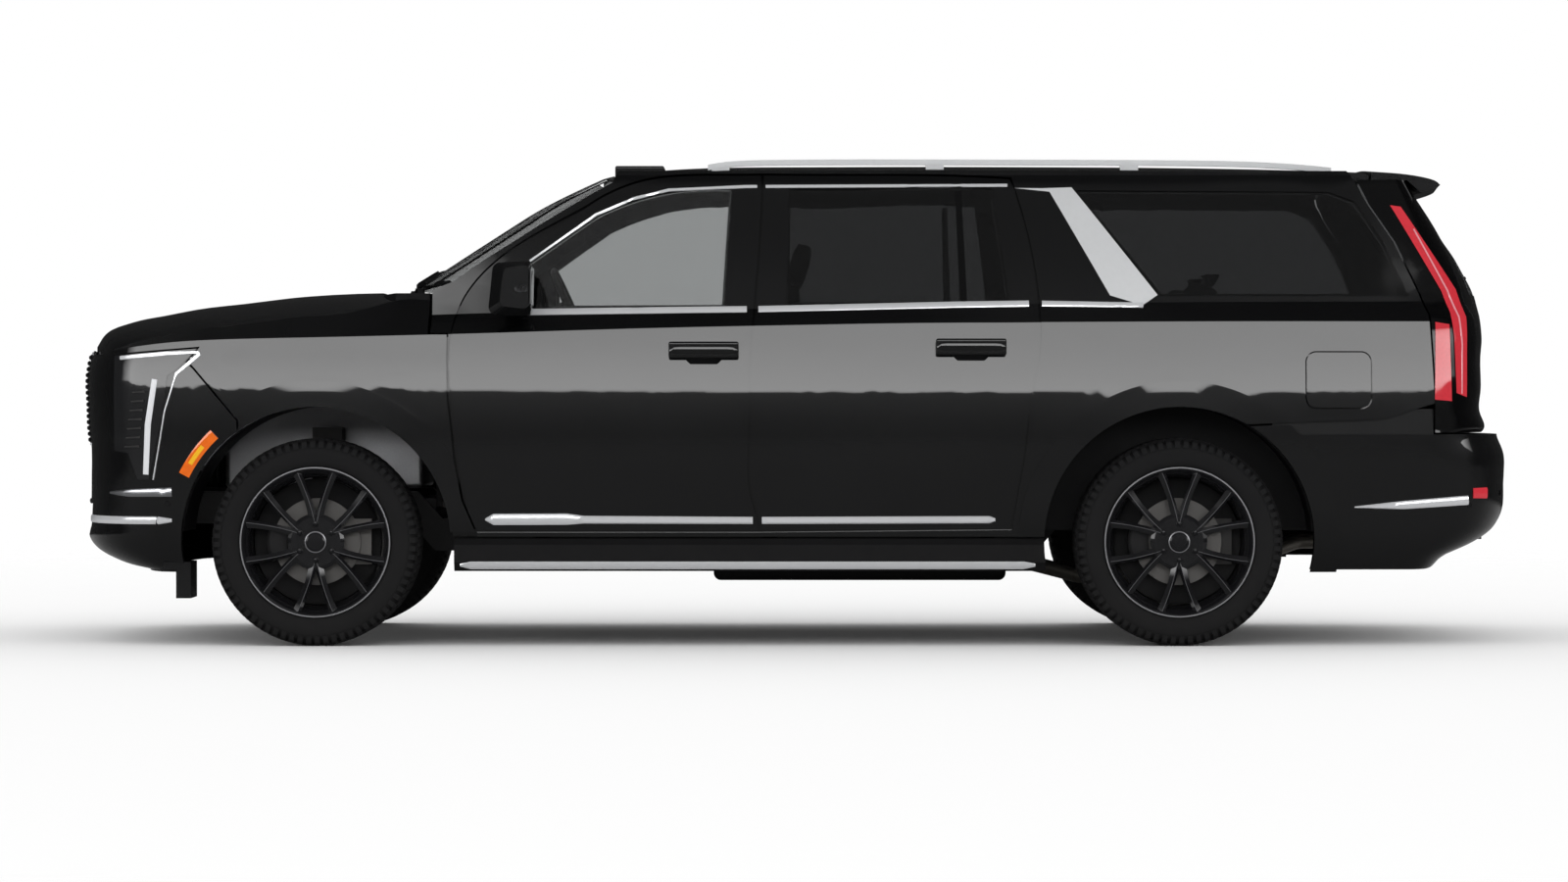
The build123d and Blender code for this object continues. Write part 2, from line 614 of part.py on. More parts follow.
for s in (-1, 1):
    nose += box(-2450, -2392, min(s * 730, s * 930), max(s * 730, s * 930), 186, 330)
    nose += box(-2500, -2392, min(s * 730, s * 930), max(s * 730, s * 930), 300, 330)
holder = box(FRONT_PLATE_X, -2850, -160, 160, 560, 715) - box(-2890, -2850, -140, 140, 300, 700)
nose += holder
for s in (-1, 1):
    nose -= rod((-3000, s * PLATE_PITCH / 2, FRONT_PLATE_Z), (-2700, s * PLATE_PITCH / 2, FRONT_PLATE_Z),
                PLATE_HOLE_R)
bumper = nose - lamp_cut - grille_hole - front_prism(intake_face, -3000, -2500) - hood_space
lamp -= hood_space
node("front_bumper", bumper)
node("head_lamps", lamp)
grille_skin = end_skin(NOSE_X, NOSE_Z, CORNER_F, NOSE_N, NOSE_BACK, NOSE_T - 6, nose_width)
grille_body = front_prism(grille_face, -3000, -2500) & grille_skin
grille_open = front_prism(grown(grille_face, -34.0), -3000, -2500)
bars = [front_prism(face_of([(-700, z), (700, z), (700, z + 10), (-700, z + 10)]), -2872, -2846)
        for z in (850, 905, 960, 1015, 1070)]
grille = grille_body - grille_open
for bar in bars:
    grille += bar & grille_body
grille -= hood_space
node("grille", grille)

# ---- cowl, firewall, windshield ------------------------------------------------
cowl_ys = [-840, -700, -500, -250, 0, 250, 500, 700, 840]
cowl = top_prism(face_of([(hood_rear_x(y) + HOOD_GAP + 2, y) for y in cowl_ys] + [(-1452, 840), (-1452, -840)],
                         curved=[(0, len(cowl_ys) - 1)]), 1335, 1395)
cowl += box(-1452, -1428, -880, 880, 726, 1226) + box(-1452.5, -1428, -775, 775, 1225, 1395)
cowl += box(-1452, -1428, -LINER_IN + 3, LINER_IN - 3, 540, 727)
WIND_HALF = 770.0


def hood_under(x, y):
    """Height of the hood's underside."""
    crown = table(x, HOOD_CROWN) * (abs(y) / HOOD_HALF) ** 2.2
    return table(x - nose_shift(y), HOOD_C) - crown - HOOD_T


for s in (-1, 1):
    x0 = hood_rear_x(300) - 46
    top = min(hood_under(x, y) for x in (x0, x0 + 60) for y in (280, 320)) - STOP_GAP
    cowl += box(x0, x0 + 70, min(s * 280, s * 320), max(s * 280, s * 320), top - 26, top)
for y in (-450, 0, 450):
    x0 = WIND_C[0][1] + WIND_SAG * (abs(y) / WIND_HALF) ** 2
    cowl += box(x0 - 6, x0 + 26, y - 50, y + 50, 1394, WIND_C[0][0] + 3 - 5 - STOP_GAP)
node("cowl_firewall", cowl)

WIND_YS = (-WIND_HALF, -600, -300, 0, 300, 600, WIND_HALF)


def wind_profile(y):
    sag = WIND_SAG * (abs(y) / WIND_HALF) ** 2
    return [(table(z, WIND_C) + sag, z) for z in (1428, 1500, 1580, 1660, 1740, 1810, 1866)]


windshield = sheet_y(wind_profile, WIND_YS, (8.0, -5.0))
wind_trim = top_prism(face_of([(-1700, -700), (-1452, -812), (-1200, -800), (-700, -690), (-700, 690),
                               (-1200, 800), (-1452, 812), (-1700, 700)]), 1400, 1900)
node("windshield", windshield & wind_trim)

# ---- roof ------------------------------------------------------------------
ROOF_YS = (-ROOF_HALF + FIT, -500, -250, 0, 250, 500, ROOF_HALF - FIT)


def roof_profile(y):
    drop = ROOF_CROWN * (abs(y) / ROOF_HALF) ** 2
    x0 = ROOF_FRONT_X + WIND_SAG * (abs(y) / WIND_HALF) ** 2
    xs = [lerp(x0, ROOF_REAR_X, t) for t in (0, 0.03, 0.075, 0.125, 0.25, 0.4, 0.56, 0.72, 0.86, 1.0)]
    return [(x, table(x - x0 + ROOF_FRONT_X if x < -400 else x, ROOF_C) - drop) for x in xs]


roof = sheet_y(roof_profile, ROOF_YS, (0, -ROOF_T))
pod = soft_box(-742, -540, -110, 110, 1880, 1938, 8)
node("roof", roof + pod)

rail_path = [(-350, 1904), (-290, 1914), (-120, 1923), (700, 1925), (1500, 1922), (2040, 1903),
             (2150, 1892)]
rail_top = [(x, z + 11) for x, z in rail_path]
rail_low = [(x, z - 11) for x, z in rail_path]
rail = side_prism(make_face([Spline(*rail_top), Line(rail_top[-1], rail_low[-1]), Spline(*rail_low[::-1]),
                             Line(rail_low[0], rail_top[0])]), -624, -652)
for x in (-300, 560, 1340, 2080):
    zc = table(x, ROOF_C) - ROOF_CROWN * (638 / ROOF_HALF) ** 2
    zr = table(x, rail_path)
    rail += box(x - 36, x + 36, -650, -626, zc - 4, zr)
rail -= roof
node("roof_rails", both(rail))

# ---- pillar blades --------------------------------------------------------------
blade_face = face_of([(872, 1815), (984, 1814), (1100, 1818), (1432, 1386), (1372, 1345), (1244, 1384),
                      (1012, 1800)])
blade = side_prism(blade_face, -300, -1200) & side_skin(BODY_X, -5, -FIT, -FIT)
node("pillar_blades", both(blade))

# ---- tail --------------------------------------------------------------------
TAIL_Z = (300, 328, 355, 378, 400, 440, 476, 525, 600, 671, 740, 783, 835)
GATE_Z = (838, 915, 1000, 1080, 1160, 1208, 1250, 1306, 1355, 1404, 1453, 1501, 1550, 1599, 1648, 1697,
          1746, 1795, 1850)


def tail_width(z):
    return w_low(CORNER_R, z, TAIL_X)


def gate_width(z):
    return w_side(CORNER_R, z)


bumper_rear = end_skin(TAIL_X, TAIL_Z, CORNER_R, TAIL_N, TAIL_BACK, NOSE_T, tail_width)
bumper_face = face_of([(1770, 270), (3000, 270), (3000, 840), (2516, 840), (2516, 946),
                       (2323, 888), (2000, 876), (1770, 866)])
bumper_rear &= side_prism(bumper_face, -1200, 1200)
tail_flare = rear_flare & side_prism(bumper_face, -300, -1200)
bumper_rear += tail_flare
bumper_rear += flipped(tail_flare)
bumper_rear -= arch_cut(REAR_AXLE_X)
shelf = top_prism(face_of([(2560, -900), (2790, -700), (2830, -400), (2830, 400), (2790, 700),
                           (2560, 900)]), 770, 800)
bumper_rear += shelf
bumper_rear -= box(2500, 3000, -120, 120, 250, 486)
node("rear_bumper", bumper_rear)


def high_back(z, inset):
    return w_side(CORNER_R - 200, z) - inset


def gate_skin(t, o=0.0, zs=GATE_Z):
    sections = []
    for z in zs:
        run = []
        for inset in (o, t):
            x0 = table(z, GATE_X)
            a, w = x0 - CORNER_R - inset, gate_width(z) - inset
            half = [(CORNER_R - 200, high_back(z, inset))]
            half += [(CORNER_R + a * math.sin(math.pi / 2 * i / 9) ** (2 / TAIL_N),
                      w * math.cos(math.pi / 2 * i / 9) ** (2 / TAIL_N)) for i in range(10)]
            run.append([(x, -y, z) for x, y in half] + [(x, y, z) for x, y in half[-2::-1]])
        outer, inner = run
        sections.append([outer, [outer[-1], inner[-1]], inner[::-1], [inner[0], outer[0]]])
    return loft_rings(sections)


tail_shell = gate_skin(TAIL_T)
corner_face = face_of([(2524, 842), (3000, 842), (3000, 1860), (2234, 1860), (2284, 1750), (2383, 1600),
                       (2478, 1394), (2510, 1307), (2522, 1093)])
gate_face = face_of([(-GATE_HALF, 842), (GATE_HALF, 842), (GATE_HALF, 1380), (GATE_TOP_HALF, 1850),
                     (-GATE_TOP_HALF, 1850), (-GATE_HALF, 1380)])
gate_space = front_prism(face_of([(-GATE_HALF - GATE_GAP, 800), (GATE_HALF + GATE_GAP, 800),
                                  (GATE_HALF + GATE_GAP, 1380), (GATE_TOP_HALF + GATE_GAP, 1870),
                                  (-GATE_TOP_HALF - GATE_GAP, 1870), (-GATE_HALF - GATE_GAP, 1380)]), 2000, 3000)
corner = (tail_shell & side_prism(corner_face, -500, -1200)) - gate_space
corner -= box(2000, ROOF_REAR_X + 4, -ROOF_HALF - 1, -500, 1800, 1950)
tall_face = face_of([(2367, 1746), (2565, 1402), (2593, 1322), (2605, 1220), (2613, 998), (2660, 982),
                     (2664, 1300), (2628, 1411), (2409, 1740)])
small_face = face_of([(2522, 972), (2593, 966), (2586, 1270), (2528, 1279)])
lamp_left = (side_prism(tall_face, -500, -1200) & gate_skin(30, -3)) - gate_space
lamp_small = (side_prism(small_face, -700, -1200) & gate_skin(30, -1))
corner_cut = corner - (side_prism(grown(tall_face, 1.0), -600, -1200) & gate_skin(31, -9))
corner_cut -= side_prism(grown(small_face, 1.0), -600, -1200) & gate_skin(31, -9)
node("rear_corners", both(corner_cut))
node("tail_lamps", both(lamp_left) + both(lamp_small))

gate = tail_shell & front_prism(gate_face, 2304, 3000)
gate_window = face_of([(-700, 1400), (700, 1400), (610, 1765), (-610, 1765)])
gate_hole = front_prism(gate_window, 2200, 3000)
gate_pocket = front_prism(grown(gate_window, GLASS_LAP + FIT), 2200, 3000)
gate -= gate_hole
gate -= gate_pocket & gate_skin(3 + GLASS_T + FIT, -9)
gate += box(2304, 2440, -GATE_TOP_HALF + 4, GATE_TOP_HALF - 4, 1830, 1850)
for s in (-1, 1):
    gate -= rod((2680, s * PLATE_PITCH / 2, PLATE_Z), (2860, s * PLATE_PITCH / 2, PLATE_Z), PLATE_HOLE_R)
node("tailgate_glass", front_prism(grown(gate_window, GLASS_LAP), 2200, 3000)
     & gate_skin(3 + GLASS_T, 3))


def spoiler_profile(y):
    k = (abs(y) / 690) ** 2.5
    top = [(2306, 1908), (2414, 1901), (2487, 1893), (2560, 1876), (2630 - 50 * k, 1855)]
    return [(x, z - 26 * k) for x, z in top]


spoiler_sections = []
for y in (-690, -560, -300, 0, 300, 560, 690):
    top = [(x, y, z) for x, z in spoiler_profile(y)]
    k = (abs(y) / 690) ** 2.5
    low = [(2306, y, 1851), (2450, y, 1851), (2507, y, 1800), (2607 - 50 * k, y, 1812)]
    spoiler_sections.append([top, [top[-1], low[-1]], [low[3], low[2]], [low[2], low[1]],
                               [low[1], low[0]], [low[0], top[0]]])
spoiler = loft_rings(spoiler_sections)
node("tailgate", gate - spoiler)
node("spoiler", spoiler)

# ---- wheels ------------------------------------------------------------------
TYRE_H = TYRE_W / 2
tyre_face = make_face(Polyline((SEAT_R, -RIM_W / 2 + 12), (SEAT_R + 18, -RIM_W / 2 - 3),
                               (SEAT_R + 60, -TYRE_H), (TYRE_R - 44, -TYRE_H + 3),
                               (TYRE_R - 12, -TYRE_H + 18), (TYRE_R, -TYRE_H + 48),
                               (TYRE_R, TYRE_H - 48), (TYRE_R - 12, TYRE_H - 18), (TYRE_R - 44, TYRE_H - 3),
                               (SEAT_R + 60, TYRE_H), (SEAT_R + 18, RIM_W / 2 + 3),
                               (SEAT_R, RIM_W / 2 - 12), close=True))
tyre0 = revolve(Plane.XZ * tyre_face, axis=Axis.Z)
OUTER_LIP = RIM_W / 2 + 4
rim_face = make_face(Polyline((SEAT_R - FIT, -RIM_W / 2 + 14), (SEAT_R - FIT + 8, -RIM_W / 2 + 2),
                              (SEAT_R + 6, -RIM_W / 2 - 4), (SEAT_R - 18, -RIM_W / 2 - 4),
                              (SEAT_R - 18, OUTER_LIP), (SEAT_R + 12, OUTER_LIP),
                              (SEAT_R + 12, OUTER_LIP - 5), (SEAT_R - FIT, OUTER_LIP - 12), close=True))
barrel = revolve(Plane.XZ * make_face(Polyline(
    (SEAT_R - FIT, -RIM_W / 2 + 8), (SEAT_R - FIT, OUTER_LIP), (SEAT_R - 18, OUTER_LIP),
    (SEAT_R - 18, -RIM_W / 2 + 8), close=True)), axis=Axis.Z)
lip = Pos(0, 0, OUTER_LIP) * (Cylinder(SEAT_R + 16, 6, align=(Align.CENTER, Align.CENTER, Align.MIN))
                              - Cylinder(SEAT_R - 18, 6, align=(Align.CENTER, Align.CENTER, Align.MIN)))
HUB_R, HUB_FACE = 92.0, 62.0
hub = Pos(0, 0, HUB_FACE - 44) * Cylinder(HUB_R, 44, align=(Align.CENTER, Align.CENTER, Align.MIN))
cap = Pos(0, 0, HUB_FACE) * Cylinder(42, 9, align=(Align.CENTER, Align.CENTER, Align.MIN))
spokes = hub + cap + barrel + lip
for i in range(6):
    for twist in (-9.0, 9.0):
        a0, a1 = math.radians(i * 60 + twist * 0.9), math.radians(i * 60 + twist * 1.55)
        r0, r1 = HUB_R - 20, SEAT_R - 10
        dx, dy = math.cos(a1) * r1 - math.cos(a0) * r0, math.sin(a1) * r1 - math.sin(a0) * r0
        ln = math.hypot(dx, dy)
        ux, uy = -dy / ln, dx / ln
        p = [(math.cos(a0) * r0 + ux * 13, math.sin(a0) * r0 + uy * 13),
             (math.cos(a1) * r1 + ux * 15, math.sin(a1) * r1 + uy * 15),
             (math.cos(a1) * r1 - ux * 15, math.sin(a1) * r1 - uy * 15),
             (math.cos(a0) * r0 - ux * 13, math.sin(a0) * r0 - uy * 13)]
        arm = extrude(Plane.XY.offset(HUB_FACE - 30) * make_face(Polyline(*p, close=True)), amount=76)
        spokes += arm & (Cylinder(SEAT_R - 14, 400) - Pos(0, 0, OUTER_LIP + 92) * Cone(
            20, SEAT_R + 240, 200, align=(Align.CENTER, Align.CENTER, Align.CENTER)))
for i in range(6):
    a = math.radians(30 + i * 60)
    spokes += Pos(70 * math.cos(a), 70 * math.sin(a), HUB_FACE) * extrude(
        RegularPolygon(11, 6), amount=16)
DISC_Z = HUB_FACE - 44 - 26
disc = Pos(0, 0, DISC_Z - 6) * Cylinder(DISC_R, 24, align=(Align.CENTER, Align.CENTER, Align.MIN))
disc += Pos(0, 0, DISC_Z + 17.9) * Cylinder(80, 8.2, align=(Align.CENTER, Align.CENTER, Align.MIN))
rim0 = spokes + disc
for name, x in (("front", FRONT_AXLE_X), ("rear", REAR_AXLE_X)):
    for side, sgn in (("left", -1), ("right", 1)):
        place = Pos(x, sgn * TRACK_Y, HUB_Z) * Rot(90 if sgn < 0 else -90, 0, 0)
        node(f"tyre_{name}_{side}", place * tyre0)
        node(f"rim_{name}_{side}", place * rim0)

# ---- knuckles: y runs inboard from the disc ------------------------------------
DISC_IN = TRACK_Y - (DISC_Z - 6)          # inner face of the disc, from the middle


PAD_H = 18.0             # half height of a ball joint pad


def knuckle(x, top, bottom):
    yf = -(TRACK_Y + DISC_Z - 6 - FIT)
    block = box(x - 46, x + 46, yf, -(KINGPIN_Y - 34), HUB_Z - 70, HUB_Z + 70)
    post = box(x - 24, x + 24, -(KINGPIN_Y + 24), -(KINGPIN_Y - 24), bottom, top)
    caliper = box(x + 96, x + 214, -(TRACK_Y + DISC_Z + 40), -(TRACK_Y + DISC_Z - 34),
                  HUB_Z - 90, HUB_Z + 90)
    disc_gap = tube_y(x, HUB_Z, DISC_R + 6, -(TRACK_Y + DISC_Z + 24), -(TRACK_Y + DISC_Z - 12))
    arm = box(x + 30, x + 130, yf + 2, -(KINGPIN_Y - 30), HUB_Z - 40, HUB_Z + 40)
    return block + post + arm + (caliper - disc_gap)


ARM_TOP_Z, ARM_LOW_Z = 600.0, 262.0
front_knuckle = knuckle(FRONT_AXLE_X, ARM_TOP_Z - PAD_H - FIT, ARM_LOW_Z + PAD_H + FIT)
node("knuckle_left", front_knuckle)
node("knuckle_right", flipped(front_knuckle))


def a_arm(x, z_out, z_in, t, spread, y_in):
    pad = Pos(x, -KINGPIN_Y, z_out) * Cylinder(34, 2 * t)
    out = pad
    for s in (-1, 1):
        lift = -7 if z_out < HUB_Z else 7
        out += rod((x, -KINGPIN_Y + 10, z_out + lift), (x + s * spread, -y_in, z_in), t - 4)
    return out


# ---- chassis -----------------------------------------------------------------
RAIL_SHAPE = face_of([(-2700, 470), (-1560, 470), (-1460, 360), (980, 360), (1160, 560), (1850, 600),
                      (2050, 470), (2745, 470), (2745, 600), (2080, 600), (1880, 725), (1130, 690),
                      (950, 490), (-1430, 490), (-1530, 600), (-2700, 600)])
frame_rail = side_prism(RAIL_SHAPE, -(RAIL_Y - RAIL_W / 2), -(RAIL_Y + RAIL_W / 2))
frame = frame_rail + flipped(frame_rail)
for x, z in ((-2600, 500), (-2150, 482), (-1500, 482), (-900, 380), (-200, 380), (500, 380),
             (1300, 590), (1980, 560), (2650, 480)):
    frame += box(x - 40, x + 40, -RAIL_Y, RAIL_Y, z, z + 90)
for x in (-1000, -100, 760):
    for s in (-1, 1):
        y0, y1 = s * RAIL_Y, s * 876
        frame += box(x - 35, x + 35, min(y0, y1), max(y0, y1), 440, 488)
frame += box(-2766, -2690, -520, 520, 480, 590) + box(2720, 2768, -590, 590, 480, 590)
receiver = box(2600, 2846, -38, 38, 395, 471) + box(2640, 2720, -120, 120, 440, 485)
receiver -= box(2640, 2900, -25.4, 25.4, 407.6, 458.4)
frame += receiver
for x in (FRONT_AXLE_X,):
    for s in (-1, 1):
        frame += box(x - 60, x + 60, min(s * 360, s * 500), max(s * 360, s * 500), 600, 860)
node("chassis_frame", frame)

front_susp = []
for s in (0, 1):
    low = a_arm(FRONT_AXLE_X, ARM_LOW_Z, 350, PAD_H, 190, RAIL_Y + RAIL_W / 2 + 10)
    up = a_arm(FRONT_AXLE_X, ARM_TOP_Z, 640, PAD_H, 40, 503)
    one = low + up
    front_susp.append(one if s == 0 else flipped(one))
sub = box(FRONT_AXLE_X - 240, FRONT_AXLE_X + 240, -(RAIL_Y + RAIL_W / 2 + 14), RAIL_Y + RAIL_W / 2 + 14,
          320, 380)
sub += box(FRONT_AXLE_X - 60, FRONT_AXLE_X + 60, -RAIL_Y, RAIL_Y, 378, 470 - FIT)
node("front_suspension", front_susp[0] + sub + front_susp[1])

rear_k = knuckle(REAR_AXLE_X, 560, 285)
shaft = tube_y(REAR_AXLE_X, HUB_Z, 26, -(KINGPIN_Y - 30), -100)
low_r = rod((REAR_AXLE_X, -KINGPIN_Y, 300), (REAR_AXLE_X - 60, -240, 300), 24)
trail = rod((REAR_AXLE_X - 30, -KINGPIN_Y + 10, 360), (REAR_AXLE_X - 520, -560, 420), 26)
spring = rod((REAR_AXLE_X - 20, -600, 300), (REAR_AXLE_X - 20, -600, 560), 60)
diff = fillet(box(REAR_AXLE_X - 150, REAR_AXLE_X + 150, -160, 160, 290, 530).edges(), 40)
half = rear_k + shaft + low_r + spring
cross = box(REAR_AXLE_X - 100, REAR_AXLE_X - 20, -260, 260, 276, 330)
RAIL_LOW_Z = lerp(560, 600, (REAR_AXLE_X - 90 - 1160) / (1850 - 1160))   # rail underside at the tower
tower = box(REAR_AXLE_X - 90, REAR_AXLE_X + 50, -660, -RAIL_Y + RAIL_W / 2, 536, RAIL_LOW_Z - FIT)
node("rear_suspension", half + flipped(half) + diff + cross + tower + flipped(tower))


def liner(x, y_in, y_out, y_wall):
    ring3 = tube_y(x, HUB_Z, ARCH_R + FIT + LINER_T, -y_in, -y_out)
    ring3 -= tube_y(x, HUB_Z, ARCH_R + FIT, -y_in - y_wall, -y_out - 10)
    ring3 &= box(x - 700, x + 700, -1100, -100, HUB_Z + 40, 1200)
    return ring3


front_liner = liner(FRONT_AXLE_X, LINER_IN, 888, 0)
REAR_LINER_IN = 705.0
rear_liner = liner(REAR_AXLE_X, REAR_LINER_IN, 890, 6)
node("wheel_liners", both(front_liner) + both(rear_liner))

# ---- floor, tank, engine, exhaust ------------------------------------------------
toe = LINER_IN - 5
front_floor = top_prism(face_of([(-1427, -toe), (-1345, -toe), (-1345, -885), (950, -885), (950, 885),
                                 (-1345, 885), (-1345, toe), (-1427, toe)]), FLOOR_Z - FLOOR_T, FLOOR_Z)
riser = box(950 - FLOOR_T, 950, -690, 690, FLOOR_Z - 1, CARGO_Z)
rear_floor = top_prism(face_of([(926, -690), (2600, -690), (2600, 690), (926, 690)]),
                       CARGO_Z - FLOOR_T, CARGO_Z)
floor_body = front_floor + riser + rear_floor
for s in (-1, 1):
    floor_body += box(REAR_AXLE_X - 120, REAR_AXLE_X + 120, min(s * 680, s * (REAR_LINER_IN - FIT)),
                      max(s * 680, s * (REAR_LINER_IN - FIT)), CARGO_Z - FLOOR_T, CARGO_Z)
node("floor", floor_body)
node("fuel_tank", soft_box(-332, 860, -366, -100, 236, 356, 30))
engine = soft_box(-2330, -1520, -290, 290, 610, 1230, 20)
node("engine", engine)
PIPE_R = 32.0
exhaust = pipe([(-1250, 250, 310), (900, 250, 310), (1200, 320, 232), (1720, 320, 232),
                (2150, 560, 370), (2500, 560, 370)], PIPE_R, 90)
for x in (-900, -200, 500):
    exhaust += box(x - 8, x + 8, 244, 256, 310 + PIPE_R - 6, 380 - FIT)
exhaust += box(2290, 2306, RAIL_Y + RAIL_W / 2 + FIT, 566, 488, 500)
exhaust += box(2290, 2306, 554, 566, 370 + PIPE_R - 6, 496)
node("exhaust", exhaust)
node("radiator", box(-2692, -2640, -470, 470, 600 + FIT, 1120))

# ---- running boards -------------------------------------------------------------
step_sections = []
for x in (STEP_FRONT_X, STEP_REAR_X):
    step_sections.append([[(x, -880, STEP_TOP), (x, -992, STEP_TOP)], [(x, -992, STEP_TOP), (x, -1012, 400)],
                            [(x, -1012, 400), (x, -1010, 330)], [(x, -1010, 330), (x, -990, STEP_BOTTOM)],
                            [(x, -990, STEP_BOTTOM), (x, -880, STEP_BOTTOM)],
                            [(x, -880, STEP_BOTTOM), (x, -880, STEP_TOP)]])
board = loft_rings(step_sections, ruled=True)
for x in (-1000, -100, 760):
    board += box(x - 30, x + 30, -890, -860, 380, 440 - FIT)
board -= arch_cut(FRONT_AXLE_X) + arch_cut(REAR_AXLE_X)
node("running_boards", both(board))


# ---- seats -------------------------------------------------------------------
def seat(x, y, w, z, back_lean, depth, h, head):
    cushion = soft_box(x, x + depth, y - w / 2, y + w / 2, z, z + 150, 40)
    base = box(x + 60, x + depth - 60, y - w / 2 + 60, y + w / 2 - 60, FLOOR_Z + FIT, z + 10)
    back = Pos(x + depth - 30, y, z + 120) * Rot(0, back_lean, 0) * Box(
        130, w - 20, h, align=(Align.MIN, Align.CENTER, Align.MIN))
    back = fillet(back.edges(), 38)
    out = cushion + base + back
    if head:
        rest = Pos(x + depth - 30, y, z + 120) * Rot(0, back_lean, 0) * Pos(25, 0, h + 24) * Box(
            90, 270, 170, align=(Align.MIN, Align.CENTER, Align.MIN))
        post = Pos(x + depth - 30, y, z + 120) * Rot(0, back_lean, 0) * Pos(60, 0, h - 20) * Box(
            14, 120, 60, align=(Align.MIN, Align.CENTER, Align.MIN))
        out += fillet(rest.edges(), 34) + post
    return out


front_seats = [seat(-760, s * 400, 540, 740, 18, 520, 610, True) for s in (-1, 1)]
mid_seats = [seat(190, s * 420, 520, 760, 18, 500, 600, True) for s in (-1, 1)]
node("front_seats", front_seats)
node("middle_seats", mid_seats)
bench = soft_box(1090, 1500, -600, 600, CARGO_Z + 90, CARGO_Z + 220, 36)
bench += box(1160, 1440, -540, 540, CARGO_Z + FIT, CARGO_Z + 110)
bench_back = Pos(1470, 0, CARGO_Z + 190) * Rot(0, 16, 0) * Box(
    110, 1180, 560, align=(Align.MIN, Align.CENTER, Align.MIN))
bench += fillet(bench_back.edges(), 34)
node("rear_seat", bench)

# ---- dashboard, steering wheel -------------------------------------------------------
dash_face = face_of([(-1426, 1180), (-1426, 1385), (-1300, 1392), (-1120, 1340), (-1070, 1290), (-1080, 1050),
                     (-1200, 980)])
dash = side_prism(dash_face, -788, 788)
console = soft_box(-1080, -240, -130, 130, FLOOR_Z + FIT, 930, 24)
console += box(-1180, -1000, -100, 100, 900, 1100)
WHEEL_C = (-905.0, -400.0, 1325.0)
WHEEL_TILT = 24.0
WHEEL_R = 182.0
axis_dir = Vector(math.cos(math.radians(WHEEL_TILT)), 0, math.sin(math.radians(WHEEL_TILT)))
wheel_plane = Plane(origin=Vector(*WHEEL_C), z_dir=axis_dir)
column = rod((WHEEL_C[0] - 40 * axis_dir.X, WHEEL_C[1], WHEEL_C[2] - 40 * axis_dir.Z),
             (WHEEL_C[0] - 230 * axis_dir.X, WHEEL_C[1], WHEEL_C[2] - 230 * axis_dir.Z), 34)
node("dashboard", [dash + console + column])
steer = wheel_plane * Torus(WHEEL_R, 15)
steer += wheel_plane * Pos(0, 0, -18) * Cylinder(58, 44)
steer += wheel_plane * Pos(0, 0, -6) * Box(26, 2 * WHEEL_R - 10, 18)
steer += wheel_plane * Pos(0, 0, -6) * Pos(WHEEL_R / 2, 0, 0) * Box(WHEEL_R - 8, 40, 16)
node("steering_wheel", steer)
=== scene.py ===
"""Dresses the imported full-size sport utility vehicle: studio, finishes, trim, lamps, wheels and cabin.

The frame is in metres with +X to the rear, +Y to the vehicle's right and +Z up. Every piece keeps its place
in its mesh and rides on one of the frame's bodies.
"""

import json
import logging
import math
from dataclasses import dataclass, field
from enum import Enum
from typing import Callable, Iterable, Optional, Sequence

import bmesh
import bpy
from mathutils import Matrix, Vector
from mathutils.bvhtree import BVHTree

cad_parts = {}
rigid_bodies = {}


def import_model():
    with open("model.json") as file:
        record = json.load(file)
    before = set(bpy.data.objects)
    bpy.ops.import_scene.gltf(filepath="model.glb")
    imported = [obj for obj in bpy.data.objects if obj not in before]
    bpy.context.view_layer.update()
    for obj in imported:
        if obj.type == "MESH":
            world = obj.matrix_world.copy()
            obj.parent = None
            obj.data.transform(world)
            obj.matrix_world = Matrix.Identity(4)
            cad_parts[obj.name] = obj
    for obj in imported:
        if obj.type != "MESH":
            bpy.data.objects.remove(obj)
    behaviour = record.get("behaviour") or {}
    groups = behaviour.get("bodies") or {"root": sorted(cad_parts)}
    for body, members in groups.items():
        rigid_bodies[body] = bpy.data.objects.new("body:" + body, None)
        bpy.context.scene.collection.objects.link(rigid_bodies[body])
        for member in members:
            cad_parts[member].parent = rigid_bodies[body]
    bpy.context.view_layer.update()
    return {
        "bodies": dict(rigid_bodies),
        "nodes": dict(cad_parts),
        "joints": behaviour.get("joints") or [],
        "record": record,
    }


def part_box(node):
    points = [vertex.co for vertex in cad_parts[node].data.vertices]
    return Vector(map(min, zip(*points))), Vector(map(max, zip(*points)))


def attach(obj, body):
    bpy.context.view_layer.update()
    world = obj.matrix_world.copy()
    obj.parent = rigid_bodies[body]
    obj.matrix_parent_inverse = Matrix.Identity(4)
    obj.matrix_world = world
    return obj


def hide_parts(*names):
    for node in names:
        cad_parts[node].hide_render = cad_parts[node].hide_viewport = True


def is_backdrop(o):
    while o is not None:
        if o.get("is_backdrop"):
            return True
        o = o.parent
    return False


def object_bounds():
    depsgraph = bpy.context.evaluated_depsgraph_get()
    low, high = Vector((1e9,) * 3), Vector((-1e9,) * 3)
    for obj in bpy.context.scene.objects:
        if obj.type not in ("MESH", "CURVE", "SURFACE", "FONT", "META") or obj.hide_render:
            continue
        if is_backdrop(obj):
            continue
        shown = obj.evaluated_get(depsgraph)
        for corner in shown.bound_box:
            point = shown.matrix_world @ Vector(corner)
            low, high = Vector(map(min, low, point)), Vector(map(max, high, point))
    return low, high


LOG = logging.getLogger("suv")
Point = tuple[float, float, float]
Pair = tuple[float, float]
Color = tuple[float, float, float]


